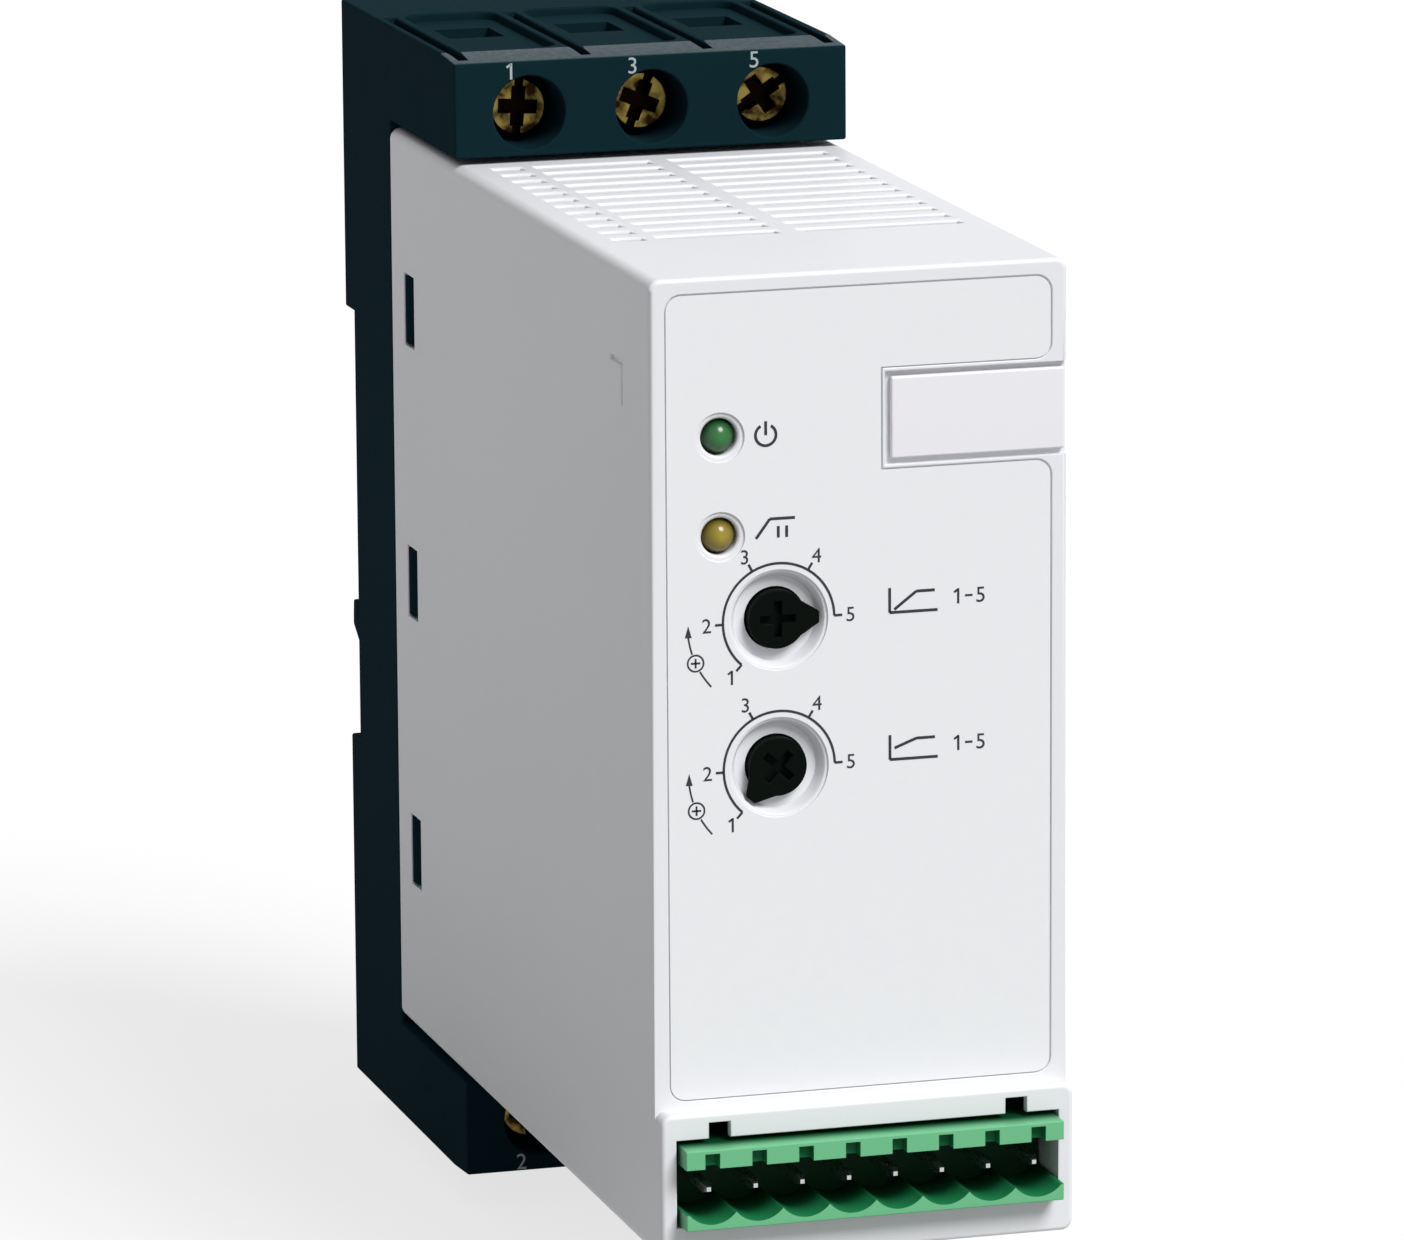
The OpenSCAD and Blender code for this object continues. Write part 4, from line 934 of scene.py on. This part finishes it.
# How far the signs stand from the lamps' middles, to the right and up
POWER_AT = Vector((4.9, 0)) * MM
FULL_AT = Vector((3.8, -0.4)) * MM
# The dials' signs stand in one column, each with its range beside it
RAMP_X = 3.2 * MM
RANGE_AT = Vector((8.6, 1.3)) * MM
RANGE_H = 1.6 * MM
signs = bmesh.new()


def lamp_middle(node):
    """The middle of a lamp, as (x, z)."""
    low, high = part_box(node)
    return ((low + high) / 2).xz


def ramp(corner, *points):
    """A row of strokes from point to point, in millimetres from the sign's lower left corner."""
    places = [corner + Vector(point) * MM for point in points]
    for a, b in zip(places, places[1:]):
        stroke(signs, a, b, film_y, SIGN_W)


power = lamp_middle("power_led") + POWER_AT
arc(signs, power, POWER_R, *POWER_SPAN, film_y, SIGN_W)
stroke(signs, power, power + Vector((0, POWER_STEM)), film_y, SIGN_W)
full = lamp_middle("bypass_led") + FULL_AT
ramp(full, (0, 0), (1.5, 2.0), (4.2, 2.0))
ramp(full, (2.4, 0), (2.4, 1.2))
ramp(full, (3.3, 0), (3.3, 1.2))
for knob, ramp_start in (("start_time_turn", 0.3), ("voltage_turn", 1.2)):
    corner = Vector((RAMP_X, dial_centre(knob)[1]))
    ramp(corner, (0, 2.6), (0, 0), (5.2, 0))
    ramp(corner, (0.5, ramp_start), (2.9, 2.1), (4.9, 2.1))
    mark(signs, "1-5", corner + RANGE_AT, RANGE_H, film_y)
end_print("front_signs", signs, "label_film", black_ink)

# %% [markdown]
# ## Terminal numbers
# The terminals carry the usual numbers in white ink, odd on the line side and even on the load side.

# %% Terminal numbers
TERMINAL_H = 1.8 * MM
BESIDE = 2.2 * MM
FROM_EDGE = 1.5 * MM
for name, side, first, z in (("line_numbers", "line", 1, base_high.z - FROM_EDGE),
                             ("load_numbers", "load", 2, base_low.z + FROM_EDGE)):
    bm = bmesh.new()
    for pole in (1, 2, 3):
        low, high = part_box(f"{side}_screw_{pole}")
        mark(bm, str(first + 2 * (pole - 1)), ((low.x + high.x) / 2 - BESIDE, z), TERMINAL_H, block_y)
    end_print(name, bm, "base_dark", white_ink)

# %% [markdown]
# ## Floor and light
# The studio is a white floor that fills the view, a large soft key light from the upper right, and a pale
# sky. Only the camera, and what mirrors or lets light through, sees the full white. Other rays see a
# greyer floor and sky, so that the shaded side of the cover stays grey, as in a room with dark walls. The
# floor lies a little below the base, because the rail clip slides out there.

# %% Floor
FLOOR_GAP = 4 * MM
FLOOR_SIZE = 8.0
FLOOR_LIFT = 0.74


def white_to_the_eye(tree):
    """1 for rays from the camera, a mirror or glass, and 0 for the light that surfaces pass on."""
    path = add(tree, "ShaderNodeLightPath")
    shine = add(tree, "ShaderNodeMath", {0: path.outputs["Is Glossy Ray"],
                                         1: path.outputs["Is Transmission Ray"]}, operation="MAXIMUM")
    return add(tree, "ShaderNodeMath", {0: path.outputs["Is Camera Ray"], 1: shine.outputs["Value"]},
               operation="MAXIMUM").outputs["Value"]


paper = bpy.data.materials.new("white_paper_floor")
paper.use_nodes = True
tree = paper.node_tree
tree.nodes.clear()
grey = add(tree, "ShaderNodeBsdfDiffuse", {"Color": linear("#b4b4b4")})
white = add(tree, "ShaderNodeBsdfDiffuse", {"Color": linear("#8c8c8c")})
lift = add(tree, "ShaderNodeEmission", {"Color": (1, 1, 1, 1), "Strength": FLOOR_LIFT})
bright = add(tree, "ShaderNodeAddShader", {0: white.outputs["BSDF"], 1: lift.outputs["Emission"]})
seen = add(tree, "ShaderNodeMixShader", {0: white_to_the_eye(tree), 1: grey.outputs["BSDF"],
                                         2: bright.outputs["Shader"]})
add(tree, "ShaderNodeOutputMaterial", {"Surface": seen.outputs["Shader"]})
floor_z = cad_low.z - FLOOR_GAP
sheet = bmesh.new()
bmesh.ops.create_grid(sheet, x_segments=1, y_segments=1, size=FLOOR_SIZE / 2,
                      matrix=Matrix.Translation((0, 0, floor_z)))
floor_mesh = bpy.data.meshes.new("floor")
sheet.to_mesh(floor_mesh)
sheet.free()
floor_mesh.materials.append(paper)
floor = bpy.data.objects.new("floor", floor_mesh)
bpy.context.scene.collection.objects.link(floor)
floor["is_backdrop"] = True
print("floor at", round(floor_z / MM, 1), "mm")

# %% Sky and key light
SKY = 0.3
KEY = 3.14
KEY_FROM = Vector((0.32, -0.61, 0.725))
KEY_SOFT = 28
world = bpy.data.worlds.new("studio")
bpy.context.scene.world = world
world.use_nodes = True
tree = world.node_tree
tree.nodes.clear()
dim = add(tree, "ShaderNodeBackground", {"Color": (1, 1, 1, 1), "Strength": SKY})
full_white = add(tree, "ShaderNodeBackground", {"Color": (1, 1, 1, 1), "Strength": 1.0})
sky = add(tree, "ShaderNodeMixShader", {0: white_to_the_eye(tree), 1: dim.outputs["Background"],
                                        2: full_white.outputs["Background"]})
add(tree, "ShaderNodeOutputWorld", {"Surface": sky.outputs["Shader"]})
key_data = bpy.data.lights.new("key", "SUN")
key_data.energy = KEY
key_data.angle = math.radians(KEY_SOFT)
key = bpy.data.objects.new("key", key_data)
key.rotation_mode = "QUATERNION"
key.rotation_quaternion = KEY_FROM.to_track_quat("Z", "Y")
bpy.context.scene.collection.objects.link(key)
bpy.context.scene.view_settings.view_transform = "Standard"
print("sky", SKY, "and key", KEY)

# %% [markdown]
# ## Size
# Print and rounding must not make the device grow, so the size of the dressed model is printed.

# %% Size
low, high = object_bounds()
print("dressed size in mm:", [round(v / MM, 2) for v in high - low])
